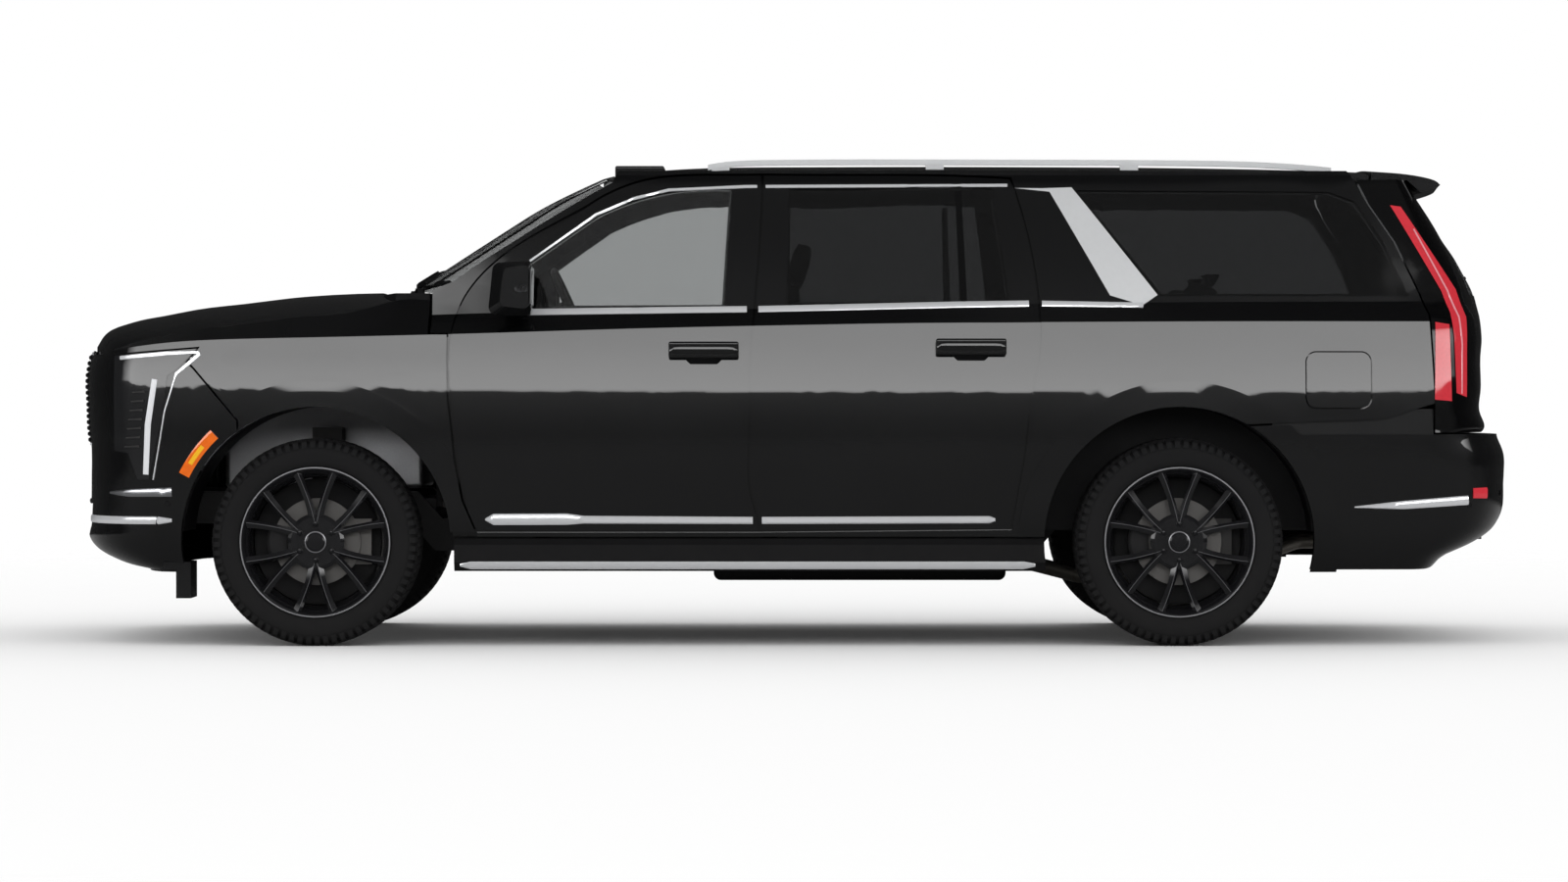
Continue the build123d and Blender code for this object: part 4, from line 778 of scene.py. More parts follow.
@dataclass
class SideTrim:
    """Bright and black trim along the doors and the body side. Routes hold x, z and width."""

    belt_front: tuple = ((-1.127, 1.317, 0.018), (-1.10, 1.3175, 0.024), (-0.430, 1.326, 0.024),
                         (-0.162, 1.329, 0.024))
    belt_rear: tuple = ((-0.146, 1.329, 0.024), (0.655, 1.347, 0.024), (0.952, 1.351, 0.024))
    belt_body: tuple = ((0.974, 1.351, 0.022), (1.372, 1.345, 0.020))
    top_front: tuple = ((-1.054, 1.522, 0.010), (-0.792, 1.708, 0.012), (-0.644, 1.772, 0.012),
                        (-0.505, 1.807, 0.012), (-0.199, 1.821, 0.012), (-0.152, 1.8215, 0.012))
    top_rear: tuple = ((-0.118, 1.8215, 0.012), (0.845, 1.826, 0.012))
    low_front: tuple = ((-1.222, 0.500, 0.008), (-1.190, 0.500, 0.044), (-0.900, 0.501, 0.044),
                        (-0.834, 0.499, 0.030), (-0.168, 0.496, 0.028))
    low_rear: tuple = ((-0.132, 0.496, 0.028), (0.765, 0.499, 0.028), (0.787, 0.499, 0.012))
    divider: tuple = ((0.664, 1.362, 0.030), (0.648, 1.802, 0.024))
    board_line: tuple = ((-1.322, 0.320, 0.010), (-1.28, 0.319, 0.030), (0.90, 0.319, 0.030),
                         (0.945, 0.320, 0.012))
    crease: tuple = ((-1.15, 0.664, 0.007), (-0.20, 0.640, 0.007))
    crease_rear: tuple = ((-0.125, 0.638, 0.007), (0.80, 0.600, 0.007))
    marker_radius: float = 0.582
    marker_arc: Pair = (133.0, 153.0)
    marker_core: Pair = (139.5, 148.0)
    marker_width: float = 0.044

    def build(self, kit: Assembler) -> None:
        """Makes both sides' trim.

        Args:
            kit: The assembler.
        """
        frame = kit.frame
        front = Skin(frame, "door_front_left")
        front_glass = Skin(frame, "door_front_left", "glass_front_left")
        rear = Skin(frame, "door_rear_left")
        rear_glass = Skin(frame, "door_rear_left", "glass_rear_left")
        body = Skin(frame, "body_sides", "pillar_blades")
        board = Skin(frame, "running_boards")
        nose = Skin(frame, "front_bumper", "front_fenders")
        hub = (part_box("tyre_front_left")[0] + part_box("tyre_front_left")[1]) / 2
        rows = (
            ("belt_trim_front", self.belt_front, front_glass, 0.006, CHROME, "door_f"),
            ("belt_trim_rear", self.belt_rear, rear_glass, 0.006, CHROME, "door_r"),
            ("belt_trim_body", self.belt_body, body, 0.006, CHROME, None),
            ("window_trim_front", self.top_front, front_glass, 0.004, CHROME, "door_f"),
            ("window_trim_rear", self.top_rear, rear_glass, 0.004, CHROME, "door_r"),
            ("sill_trim_front", self.low_front, front, 0.007, CHROME, "door_f"),
            ("sill_trim_rear", self.low_rear, rear, 0.007, CHROME, "door_r"),
            ("window_divider", self.divider, rear_glass, 0.004, GLOSS, "door_r"),
            ("board_trim", self.board_line, board, 0.004, CHROME, None),
        )
        arc = [self.on_arc(hub, a, self.marker_width) for a in self.spread(self.marker_arc)]
        core = [self.on_arc(hub, a, self.marker_width * 0.5) for a in self.spread(self.marker_core)]
        for side in Side:
            for name, route, skin, proud, finish, body_name in rows:
                shape = Ribbon.along(route, skin.side, proud).on(side)
                ride = f"{body_name}{side.letter}" if body_name else "vehicle"
                slot = "gloss_black" if finish is GLOSS else "bright_trim"
                kit.piece(f"{name}_{side.word}", shape, finish, ride, slot)
            kit.piece(f"side_marker_{side.word}", Ribbon.along(arc, nose.side, 0.0035).on(side), AMBER,
                      "vehicle", "red_lens")
            kit.piece(f"side_marker_core_{side.word}", Ribbon.along(core, nose.side, 0.0055).on(side),
                      AMBER_CORE, "vehicle", "red_lens")

    @staticmethod
    def spread(arc: Pair, count: int = 13) -> list[float]:
        """Evenly spaced angles between two."""
        return [arc[0] + (arc[1] - arc[0]) * k / (count - 1) for k in range(count)]

    def on_arc(self, hub: Vector, degrees: float, width: float) -> tuple[float, float, float]:
        """Route point on the marker's arc about the hub."""
        a = math.radians(degrees)
        return hub.x + self.marker_radius * math.cos(a), hub.z + self.marker_radius * math.sin(a), width


@dataclass
class Handles:
    """Door handles: a bar with narrower ends over a dark matte dish, a sheet of painted shade for the handle's recess.
    Places are the first x, the last x and z.
    """

    front: Point = (-0.499, -0.223, 1.168)
    rear: Point = (0.552, 0.830, 1.182)
    bar_height: float = 0.034
    # Size and drop of the dark dish, which paints the shade in the recess below the bar.
    dish_height: float = 0.034
    dish_half: float = 0.072
    dish_drop: float = 0.040

    def build(self, kit: Assembler) -> None:
        """Makes the four handles.

        Args:
            kit: The assembler.
        """
        for axle, (first, last, z) in ((Axle.FRONT, self.front), (Axle.REAR, self.rear)):
            skin = Skin(kit.frame, f"door_{axle.value}_left")
            middle, low = (first + last) / 2, z - self.dish_drop
            bar = Ribbon.along([(first + 0.004, z - 0.006, 0.010), (first + 0.024, z, self.bar_height),
                                (last - 0.024, z, self.bar_height), (last - 0.004, z - 0.006, 0.010)],
                               skin.side, 0.004, 0.02)
            # The dish is painted shade: a thin dark matte sheet where the handle's recess lies in shade.
            recess_shade = Ribbon.along([(middle - self.dish_half, low + 0.006, 0.006),
                                 (middle - self.dish_half * 0.7, low, self.dish_height),
                                 (middle + self.dish_half * 0.7, low, self.dish_height),
                                 (middle + self.dish_half, low + 0.006, 0.006)], skin.side, 0.0012, 0.01)
            for side in Side:
                body = f"door_{axle.value[0]}{side.letter}"
                name = f"{axle.value}_{side.word}"
                kit.piece(f"handle_bar_{name}", bar.on(side), PAINT, body, "paint")
                # Painted shade of the handle's recess, in the matte black plastic finish.
                kit.piece(f"handle_dish_{name}", recess_shade.on(side), PLASTIC, body, "black_plastic")


@dataclass
class FrontEnd:
    """Lamps, vents, bright strips and parking sensors of the nose."""

    wing: tuple = ((-2.672, 1.137, 0.016), (-2.52, 1.150, 0.018), (-2.365, 1.166, 0.018),
                   (-2.352, 1.150, 0.018), (-2.442, 1.074, 0.014), (-2.449, 1.053, 0.007),
                   (-2.488, 0.926, 0.006), (-2.508, 0.806, 0.006), (-2.535, 0.655, 0.006))
    lamp_strip: tuple = ((-2.528, 1.052, 0.022), (-2.555, 0.873, 0.024), (-2.565, 0.676, 0.022))
    vent_x: Pair = (-2.650, -2.590)
    vent_z: Pair = (0.785, 1.000)
    vents: int = 7
    low_strip_z: float = 0.495
    low_strip_end: float = 80.5
    high_strip_z: float = 0.603
    moulding_z: float = 1.181
    around_x: float = -2.300

    def build(self, kit: Assembler) -> None:
        """Makes the pieces of the front end.

        Args:
            kit: The assembler.
        """
        skin = Skin(kit.frame, "front_bumper", "front_fenders", "head_lamps", "grille", "hood")
        bumper = Skin(kit.frame, "front_bumper", "grille")

        def wrapped(degrees: float, z: float) -> Optional[Vector]:
            return bumper.around(self.around_x, degrees, z)

        for side in Side:
            kit.piece(f"lamp_wing_{side.word}", Ribbon.along(self.wing, skin.side, 0.005, 0.02).on(side),
                      CHROME, "vehicle", "bright_trim")
            kit.piece(f"lamp_strip_{side.word}", Ribbon.along(self.lamp_strip, skin.side, 0.004, 0.02).on(side),
                      LAMP_STRIP, "vehicle", "lamp_lens")
            fins = Shape()
            for k in range(self.vents):
                z = self.vent_z[0] + (self.vent_z[1] - self.vent_z[0]) * k / (self.vents - 1)
                shift = 0.055 * k / (self.vents - 1)
                fin = Ribbon.along([(self.vent_x[0] + shift * 0.6, z, 0.006),
                                    (self.vent_x[1] + shift * 0.4, z + 0.003, 0.010)], skin.side, 0.006, 0.012)
                fins.add(fin.points, fin.faces)
            kit.piece(f"air_vent_fins_{side.word}", fins.on(side), STEEL, "vehicle", "black_plastic")
            insert = [(64.0, self.high_strip_z, 0.010), (70.0, self.high_strip_z, 0.030),
                      (80.6, self.high_strip_z + 0.004, 0.036)]
            kit.piece(f"bumper_insert_{side.word}", Ribbon.along(insert, wrapped, 0.006, 0.6, 0.016).on(side),
                      SATIN, "vehicle", "bright_trim")
        low = [(-self.low_strip_end, self.low_strip_z, 0.014), (-self.low_strip_end + 3, self.low_strip_z, 0.030),
               (self.low_strip_end - 3, self.low_strip_z, 0.030), (self.low_strip_end, self.low_strip_z, 0.014)]
        kit.piece("bumper_strip_front", Ribbon.along(low, wrapped, 0.006, 1.0, 0.012), CHROME, "vehicle",
                  "bright_trim")
        self.sensors(kit, bumper)

    def sensors(self, kit: Assembler, skin: Skin) -> None:
        """Round parking sensors in the front bumper."""
        dots = Shape()
        for degrees in (-79.6, -40, -14, 14, 40, 79.6):
            hit = skin.around(self.around_x, degrees, 0.563)
            if hit:
                dots.add(*Disc.facing(hit, Vector((math.copysign(1, self.around_x) * math.cos(math.radians(degrees)),
                                                    -math.sin(math.radians(degrees)), 0)), 0.011, 0.003))
        kit.piece("park_sensors_front", dots, PLASTIC, "vehicle", "black_plastic")


class Disc:
    """Small turned buttons."""

    @staticmethod
    def facing(centre: Vector, out: Vector, radius: float, height: float,
               steps: int = 20) -> tuple[list[Vector], list[tuple[int, ...]]]:
        """Shallow stepped button that faces a direction.

        Args:
            centre: Middle of its base.
            out: Direction it faces.
            radius: Radius of the base.
            height: How far it stands out.
            steps: Sides of the circle.

        Returns:
            Points and faces.
        """
        out = out.normalized()
        side = out.cross(Vector((0, 0, 1)))
        side = side.normalized() if side.length > 0.1 else Vector((0, 1, 0))
        up = side.cross(out)
        shape = Shape()
        rows = ((1.0, -0.5), (1.0, 0.6), (0.86, 1.0), (0.7, 1.0), (0.62, 0.55), (0.3, 0.5))
        shape.loft([[centre + (side * math.cos(math.tau * k / steps) + up * math.sin(math.tau * k / steps))
                     * radius * r + out * height * h for k in range(steps)] for r, h in rows])
        return shape.points, shape.faces


class NodeTools:
    """Builds Geometry Nodes trees and turns their results into plain meshes."""

    @staticmethod
    def tree(name: str, numbers: dict[str, float]) -> tuple[bpy.types.NodeTree, bpy.types.Node, bpy.types.Node]:
        """Empty tree with a geometry input, named number inputs and a geometry output.

        Args:
            name: Name of the tree.
            numbers: Input names and their defaults.

        Returns:
            The tree, its input node and its output node.
        """
        tree = bpy.data.node_groups.new(name, "GeometryNodeTree")
        tree.interface.new_socket("Geometry", in_out="INPUT", socket_type="NodeSocketGeometry")
        for label, value in numbers.items():
            kind = "NodeSocketInt" if isinstance(value, int) else "NodeSocketFloat"
            socket = tree.interface.new_socket(label, in_out="INPUT", socket_type=kind)
            socket.default_value = value
        tree.interface.new_socket("Geometry", in_out="OUTPUT", socket_type="NodeSocketGeometry")
        return tree, tree.nodes.new("NodeGroupInput"), tree.nodes.new("NodeGroupOutput")

    @staticmethod
    def close(tree: bpy.types.NodeTree, instances: bpy.types.NodeSocket, end: bpy.types.Node,
              material: bpy.types.Material) -> None:
        """Ends a tree in Realize Instances and Set Material."""
        realize = tree.nodes.new("GeometryNodeRealizeInstances")
        paint = tree.nodes.new("GeometryNodeSetMaterial")
        paint.inputs["Material"].default_value = material
        link(tree, instances, realize.inputs["Geometry"])
        link(tree, realize.outputs["Geometry"], paint.inputs["Geometry"])
        link(tree, paint.outputs["Geometry"], end.inputs["Geometry"])

    @staticmethod
    def run(name: str, base: Shape, tree: bpy.types.NodeTree, values: dict[str, float]) -> bpy.types.Object:
        """Runs a tree on a base mesh and keeps the result as a plain mesh.

        Args:
            name: Name of the piece.
            base: The base mesh.
            tree: The tree.
            values: Values of its named inputs.

        Returns:
            The new object.
        """
        mesh = bpy.data.meshes.new(name)
        mesh.from_pydata([tuple(p) for p in base.points], [], base.faces)
        thing = bpy.data.objects.new(name, mesh)
        bpy.context.scene.collection.objects.link(thing)
        modifier = thing.modifiers.new("repeat", "NODES")
        modifier.node_group = tree
        ids = {item.name: item.identifier for item in tree.interface.items_tree
               if item.item_type == "SOCKET" and item.in_out == "INPUT"}
        for label, value in values.items():
            modifier[ids[label]] = value
        Assembler.apply(thing)
        return thing


@dataclass
class Grille:
    """Front grille: rows of small raised cells inside a bright frame."""

    rows: int = 15
    columns: int = 56
    cell: float = 0.0125
    height: float = 0.010
    edge: float = 0.014

    def sheet(self, skin: Skin, low: Vector, high: Vector) -> Shape:
        """Staggered sheet of faces just behind the grille's front.

        Args:
            skin: The grille's surface.
            low: Lowest corner of the grille.
            high: Highest corner.

        Returns:
            One small face for each cell.
        """
        shape = Shape()
        dy = (high.y - low.y - 2 * self.edge) / self.columns
        dz = (high.z - low.z - 2 * self.edge) / self.rows
        for r in range(self.rows):
            for c in range(self.columns - r % 2):
                y = low.y + self.edge + dy * (c + 0.5 + 0.5 * (r % 2))
                z = low.z + self.edge + dz * (r + 0.5)
                hit = skin.front(y, z)
                if hit:
                    s = 0.002
                    shape.add([hit + Vector(d) for d in ((0, -s, -s), (0, s, -s), (0, s, s), (0, -s, s))],
                              [(3, 2, 1, 0)])
        return shape

    def build(self, kit: Assembler) -> None:
        """Makes the cells and the frame.

        Args:
            kit: The assembler.
        """
        low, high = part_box("grille")
        skin = Skin(kit.frame, "grille")
        tree, start, end = NodeTools.tree("grille_cells", {"Radius": self.cell, "Height": self.height})
        spots = tree.nodes.new("GeometryNodeMeshToPoints")
        spots.mode = "FACES"
        cone = tree.nodes.new("GeometryNodeMeshCone")
        cone.fill_type = "NGON"
        cone.inputs["Vertices"].default_value = 6
        taper = tree.nodes.new("ShaderNodeMath")
        taper.operation = "MULTIPLY"
        taper.inputs[1].default_value = 0.45
        place = tree.nodes.new("GeometryNodeInstanceOnPoints")
        normal = tree.nodes.new("GeometryNodeInputNormal")
        turn = tree.nodes.new("FunctionNodeAlignRotationToVector")
        turn.axis = "Z"
        keep = tree.nodes.new("GeometryNodeStoreNamedAttribute")
        keep.data_type = "FLOAT_VECTOR"
        keep.domain = "FACE"
        keep.inputs["Name"].default_value = "out"
        read = tree.nodes.new("GeometryNodeInputNamedAttribute")
        read.data_type = "FLOAT_VECTOR"
        read.inputs["Name"].default_value = "out"
        link(tree, start.outputs["Geometry"], keep.inputs["Geometry"])
        link(tree, normal.outputs[0], keep.inputs["Value"])
        link(tree, keep.outputs["Geometry"], spots.inputs["Mesh"])
        link(tree, start.outputs["Radius"], cone.inputs["Radius Bottom"])
        link(tree, start.outputs["Radius"], taper.inputs[0])
        link(tree, taper.outputs[0], cone.inputs["Radius Top"])
        link(tree, start.outputs["Height"], cone.inputs["Depth"])
        link(tree, read.outputs[0], turn.inputs["Vector"])
        link(tree, spots.outputs["Points"], place.inputs["Points"])
        link(tree, cone.outputs["Mesh"], place.inputs["Instance"])
        link(tree, turn.outputs[0], place.inputs["Rotation"])
        NodeTools.close(tree, place.outputs["Instances"], end, kit.shop.material(MESH_BLACK))
        cells = NodeTools.run("grille_cells", self.sheet(skin, low, high), tree,
                              {"Radius": self.cell, "Height": self.height})
        kit.finish(cells, MESH_BLACK, "vehicle", "gloss_black", 0.4)
        m = 0.010
        loop = [(low.y + m, low.z + m), (high.y - m, low.z + m), (high.y - m, high.z - m), (low.y + m, high.z - m)]
        rim = Shape()
        for a, b in zip(loop, loop[1:] + loop[:1]):
            bar = Ribbon.along([(*a, 0.014), (*b, 0.014)], skin.front, 0.004, 0.02)
            rim.add(bar.points, bar.faces)
        kit.piece("grille_frame", rim, SATIN, "vehicle", "bright_trim")


@dataclass
class Tail:
    """Pieces of the rear bumper, the lamps and the tailgate."""

    strip: tuple = ((2.205, 0.548, 0.006), (2.40, 0.556, 0.032), (2.62, 0.572, 0.036), (2.660, 0.574, 0.036))
    reflector: tuple = ((2.682, 0.602, 0.040), (2.745, 0.602, 0.044))
    around_x: float = 2.200
    plate: Pair = (0.305, 0.152)
    plate_z: float = 1.0
    heater_lines: int = 12
    close_x: Pair = (1.800, 2.520)
    close_z: Pair = (0.800, 0.935)
    close_in: float = 0.022

    def close_out(self, bumper: Skin) -> Shape:
        """Inner panel behind the seam between the body side and the bumper.

        Args:
            bumper: Skin of the rear bumper.

        Returns:
            The left panel.
        """
        steps = 18
        rings = []
        for k in range(steps + 1):
            x = self.close_x[0] + (self.close_x[1] - self.close_x[0]) * k / steps
            hit = bumper.side(x, self.close_z[0])
            if hit:
                y = hit.y + self.close_in
                rings.append([(x, y + d, z) for d, z in ((0, self.close_z[0]), (0.006, self.close_z[1]),
                                                         (0.010, self.close_z[1]), (0.004, self.close_z[0]))])
        shape = Shape()
        shape.loft(rings)
        return shape

    def build(self, kit: Assembler) -> None:
        """Makes the rear pieces.

        Args:
            kit: The assembler.
        """
        bumper = Skin(kit.frame, "rear_bumper")
        gate = Skin(kit.frame, "tailgate", "tailgate_glass")
        lamps = Skin(kit.frame, "tail_lamps")
        panel = self.close_out(bumper)
        for side in Side:
            kit.piece(f"quarter_closing_{side.word}", panel.on(side), PAINT, "vehicle", "paint")
            kit.piece(f"bumper_strip_rear_{side.word}", Ribbon.along(self.strip, bumper.side, 0.006, 0.02).on(side),
                      CHROME, "vehicle", "bright_trim")
            kit.piece(f"rear_reflector_{side.word}", Ribbon.along(self.reflector, bumper.side, 0.004, 0.02).on(side),
                      RED_LENS, "vehicle", "red_lens")
            rib = Ribbon.along([(2.432, 1.700, 0.006), (2.590, 1.405, 0.007), (2.629, 1.300, 0.007),
                                (2.640, 1.190, 0.007), (2.637, 0.995, 0.006)], lamps.side, 0.003, 0.03).on(side)
            kit.piece(f"tail_lamp_rib_{side.word}", rib, ROSE_LENS, "vehicle", "red_lens")
        dots = Shape()
        for y in (-0.72, -0.30, 0.30, 0.72):
            hit = bumper.back(y, 0.60)
            if hit:
                dots.add(*Disc.facing(hit, Vector((1, 0, 0)), 0.011, 0.003))
        for y in (-1, 1):
            hit = bumper.side(2.666, 0.556)
            if hit:
                dots.add(*Disc.facing(Vector((hit.x, hit.y * -y, hit.z)), Vector((0.3, y, 0)), 0.011, 0.003))
        kit.piece("park_sensors_rear", dots, PLASTIC, "vehicle", "black_plastic")
        self.gate_pieces(kit, gate)

    def gate_pieces(self, kit: Assembler, gate: Skin) -> None:
        """Blank plate, handle strip, glass heater lines and wiper.

        Args:
            kit: The assembler.
            gate: Skin of the tailgate and its glass.
        """
        back = gate.back(0.0, self.plate_z)
        half_w, half_h = self.plate[0] / 2, self.plate[1] / 2
        plate = Shape()
        plate.brick((back.x - 0.001, -half_w, self.plate_z - half_h), (back.x + 0.004, half_w, self.plate_z + half_h))
        kit.piece("rear_plate", plate, PLATE, "tailgate", "bright_trim", bevel=0.0015)
        strip = Ribbon.along([(-0.36, 1.125, 0.012), (-0.33, 1.125, 0.030), (0.33, 1.125, 0.030),
                              (0.36, 1.125, 0.012)], gate.back, 0.006, 0.03)
        kit.piece("tailgate_strip", strip, CHROME, "tailgate", "bright_trim")
        low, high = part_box("tailgate_glass")
        lines = Shape()
        for k in range(self.heater_lines):
            z = low.z + 0.05 + (high.z - low.z - 0.10) * k / (self.heater_lines - 1)
            line = Ribbon.along([(-0.56, z, 0.0016), (0.56, z, 0.0016)], gate.back, 0.0004, 0.07)
            lines.add(line.points, line.faces)
        kit.piece("rear_heater_lines", lines, MESH_BLACK, "tailgate", "dark_glass")
        self.wiper(kit, gate, low)

    @staticmethod
    def wiper(kit: Assembler, gate: Skin, low: Vector) -> None:
        """Rear wiper arm and blade at the foot of the glass."""
        z = low.z + 0.035
        shape = Shape()
        for route, proud in ((((0.0, z - 0.01, 0.026), (-0.20, z + 0.03, 0.014), (-0.36, z + 0.035, 0.010)), 0.014),
                             (((-0.10, z + 0.022, 0.010), (-0.44, z + 0.040, 0.008)), 0.008)):
            part = Ribbon.along(list(route), gate.back, proud, 0.03)
            shape.add(part.points, part.faces)
        kit.piece("rear_wiper", shape, PLASTIC, "tailgate", "black_plastic")


@dataclass
class Wipers:
    """Windshield wipers."""

    foot_x: float = -1.545
    blade: float = 0.56

    def build(self, kit: Assembler) -> None:
        """Makes both wipers.

        Args:
            kit: The assembler.
        """
        glass = Skin(kit.frame, "windshield", "cowl_firewall", "hood")
        shape = Shape()
        for start in (0.10, -0.52):
            foot = (self.foot_x, start)
            tip = (self.foot_x + 0.085, start + self.blade * 0.55)
            arm = Ribbon.along([(foot[0], foot[1], 0.022), ((foot[0] + tip[0]) / 2, (foot[1] + tip[1]) / 2, 0.014),
                                (*tip, 0.010)], glass.top, 0.016, 0.03)
            blade = Ribbon.along([(tip[0] - 0.03, tip[1] - self.blade / 2, 0.010),
                                  (tip[0] + 0.018, tip[1] + self.blade / 2, 0.008)], glass.top, 0.010, 0.03)
            for part in (arm, blade):
                shape.add(part.points, part.faces)
        kit.piece("front_wipers", shape, PLASTIC, "vehicle", "black_plastic")


@dataclass
class Mirror:
    """Mirror glass and lamp strip on each mirror housing."""

    lamp_z: float = 1.406
    lamp_height: float = 0.030

    def build(self, kit: Assembler) -> None:
        """Makes the pieces of both mirrors.

        Args:
            kit: The assembler.
        """
        low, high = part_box("mirror_left")
        skin = Skin(kit.frame, "mirror_left")
        lamp = [(high.x - 0.066, self.lamp_z - 0.004, 0.016), (high.x - 0.045, self.lamp_z, self.lamp_height),
                (high.x - 0.008, self.lamp_z + 0.003, self.lamp_height * 0.95)]
        middle = Vector((high.x, (low.y + (low.y + high.y) / 2) / 2, (low.z + high.z) / 2))
        half_y, half_z = 0.082, 0.078
        for side in Side:
            kit.piece(f"mirror_lamp_{side.word}", Ribbon.along(lamp, skin.side, 0.003, 0.01).on(side), LAMP_STRIP,
                      f"door_f{side.letter}", "lamp_lens")
            pane = Shape()
            rings = []
            for scale, x in ((1.0, high.x - 0.012), (1.0, high.x - 0.002), (0.96, high.x - 0.0008)):
                ring = []
                for k in range(40):
                    a = math.tau * k / 40
                    c, s = math.cos(a), math.sin(a)
                    ring.append((x, middle.y + half_y * scale * math.copysign(abs(c) ** 0.5, c),
                                 middle.z + 0.008 + half_z * scale * math.copysign(abs(s) ** 0.5, s)))
                rings.append(ring)
            pane.loft(rings)
            kit.piece(f"mirror_glass_{side.word}", pane.on(side), MIRROR_GLASS, f"door_f{side.letter}", "bright_trim")


@dataclass
class Wheel:
    """Road wheel: barrel, six pairs of spokes, hub, nuts and bright edges. Depths run inwards from the outer face."""

    pairs: int = 6
    hub_radius: float = 0.094
    tip_radius: float = 0.282
    hub_spread: float = 6.5
    tip_spread: float = 15.0
    nut_circle: float = 0.072
    barrel: tuple = ((0.297, 0.000), (0.297, 0.012), (0.287, 0.020), (0.274, 0.046), (0.264, 0.090),
                     (0.264, 0.205), (0.282, 0.229), (0.297, 0.235), (0.297, 0.246), (0.288, 0.246),
                     (0.254, 0.216), (0.254, 0.086), (0.262, 0.040), (0.276, 0.014), (0.287, 0.000))
    hub: tuple = ((0.0, 0.030), (0.098, 0.030), (0.112, 0.040), (0.112, 0.082), (0.0, 0.082))
    cap: tuple = ((0.0, 0.0125), (0.032, 0.0135), (0.0405, 0.0175), (0.0415, 0.032), (0.0, 0.032))
    cap_ring: tuple = ((0.0385, 0.0148), (0.0425, 0.0160), (0.0425, 0.022), (0.0385, 0.0205))
    lip_line: tuple = ((0.2912, -0.0016), (0.2965, -0.0016), (0.2965, 0.0030), (0.2912, 0.0030))
    disc: tuple = ((0.070, 0.086), (0.172, 0.086), (0.172, 0.098), (0.070, 0.098))
    shield: tuple = ((0.050, 0.118), (0.180, 0.118), (0.238, 0.122), (0.250, 0.116), (0.250, 0.119), (0.238, 0.126),
                     (0.180, 0.122), (0.050, 0.122))

    def at(self, centre: Vector, radius: float, degrees: float, depth: float) -> Vector:
        """Point on the left wheel.

        Args:
            centre: Middle of the wheel's outer face.
            radius: Distance from the axle.
            degrees: Turn about the axle.
            depth: Distance inwards from the outer face.

        Returns:
            The point.
        """
        a = math.radians(degrees)
        return centre + Vector((radius * math.cos(a), depth, radius * math.sin(a)))

    def spoke_rings(self, centre: Vector, axis: float, hand: int) -> tuple[list[list[Vector]], list[list[Vector]]]:
        """Sections of one spoke and of the bright line on its ridge.

        Args:
            centre: Middle of the wheel's outer face.
            axis: Angle of the pair's axis, in degrees.
            hand: 1 or -1, the side of the axis.

        Returns:
            The spoke's rings and the line's rings.
        """
        body, line = [], []
        steps = 10
        for k in range(steps + 1):
            t = k / steps
            radius = self.hub_radius - 0.012 + (self.tip_radius - self.hub_radius + 0.012) * t
            angle = axis + hand * (self.hub_spread + (self.tip_spread - self.hub_spread) * t ** 0.85)
            width = 0.036 - 0.030 * t * (1 - t) - 0.002 * t
            front = 0.026 - 0.026 * math.sin(math.pi / 2 * t) ** 2 + 0.0035
            back = front + 0.046
            turn = math.degrees(1 / radius)
            ridge = -0.12 * hand

            def spot(across: float, depth: float) -> Vector:
                return self.at(centre, radius, angle + across * width * turn, depth)

            body.append([spot(-0.5, back), spot(-0.5, front + 0.012), spot(ridge, front),
                         spot(0.5, front + 0.012), spot(0.5, back)])
            w = 0.0011 / width
            line.append([spot(ridge - w, front + 0.0004), spot(ridge, front - 0.0009), spot(ridge + w, front + 0.0004),
                         spot(ridge, front + 0.0016)])
        return body, line

    def metal(self, centre: Vector) -> tuple[Shape, Shape, Shape]:
        """Dark casting, bright edges and small pieces of one left wheel.

        Args:
            centre: Middle of the wheel's outer face.

        Returns:
            The casting, the edges and the nuts with the cap.
        """
        casting, bright, small = Shape(), Shape(), Shape()
        casting.spin(self.barrel, tuple(centre), 120)
        casting.spin(self.hub, tuple(centre), 72)
        for i in range(self.pairs):
            axis = 30 + 360 * i / self.pairs
            for hand in (-1, 1):
                body, line = self.spoke_rings(centre, axis, hand)
                casting.loft(body)
                bright.loft(line)
            nut = self.at(centre, self.nut_circle, axis, 0)
            rings = []
            for radius, depth in ((0.0115, 0.034), (0.0115, 0.017), (0.0085, 0.013), (0.003, 0.0125)):
                rings.append([nut + Vector((radius * math.cos(math.tau * k / 6), depth,
                                            radius * math.sin(math.tau * k / 6))) for k in range(6)])
            small.loft(rings)
        small.spin(self.cap, tuple(centre), 48)
        bright.spin(self.cap_ring, tuple(centre), 48)
        bright.spin(self.lip_line, tuple(centre), 120)
        return casting, bright, small

    def caliper(self, centre: Vector) -> Shape:
        """Brake caliper that wraps the disc's edge."""
        shape = Shape()
        rings = []
        for k in range(9):
            degrees = 158 + 46 * k / 8
            swell = 0.006 * math.sin(math.pi * k / 8)
            rings.append([self.at(centre, r, degrees, d) for r, d in (
                (0.118, 0.072), (0.180 + swell, 0.070), (0.192 + swell, 0.078), (0.192 + swell, 0.106),
                (0.180 + swell, 0.114), (0.118, 0.112))])
        shape.loft(rings)
        return shape

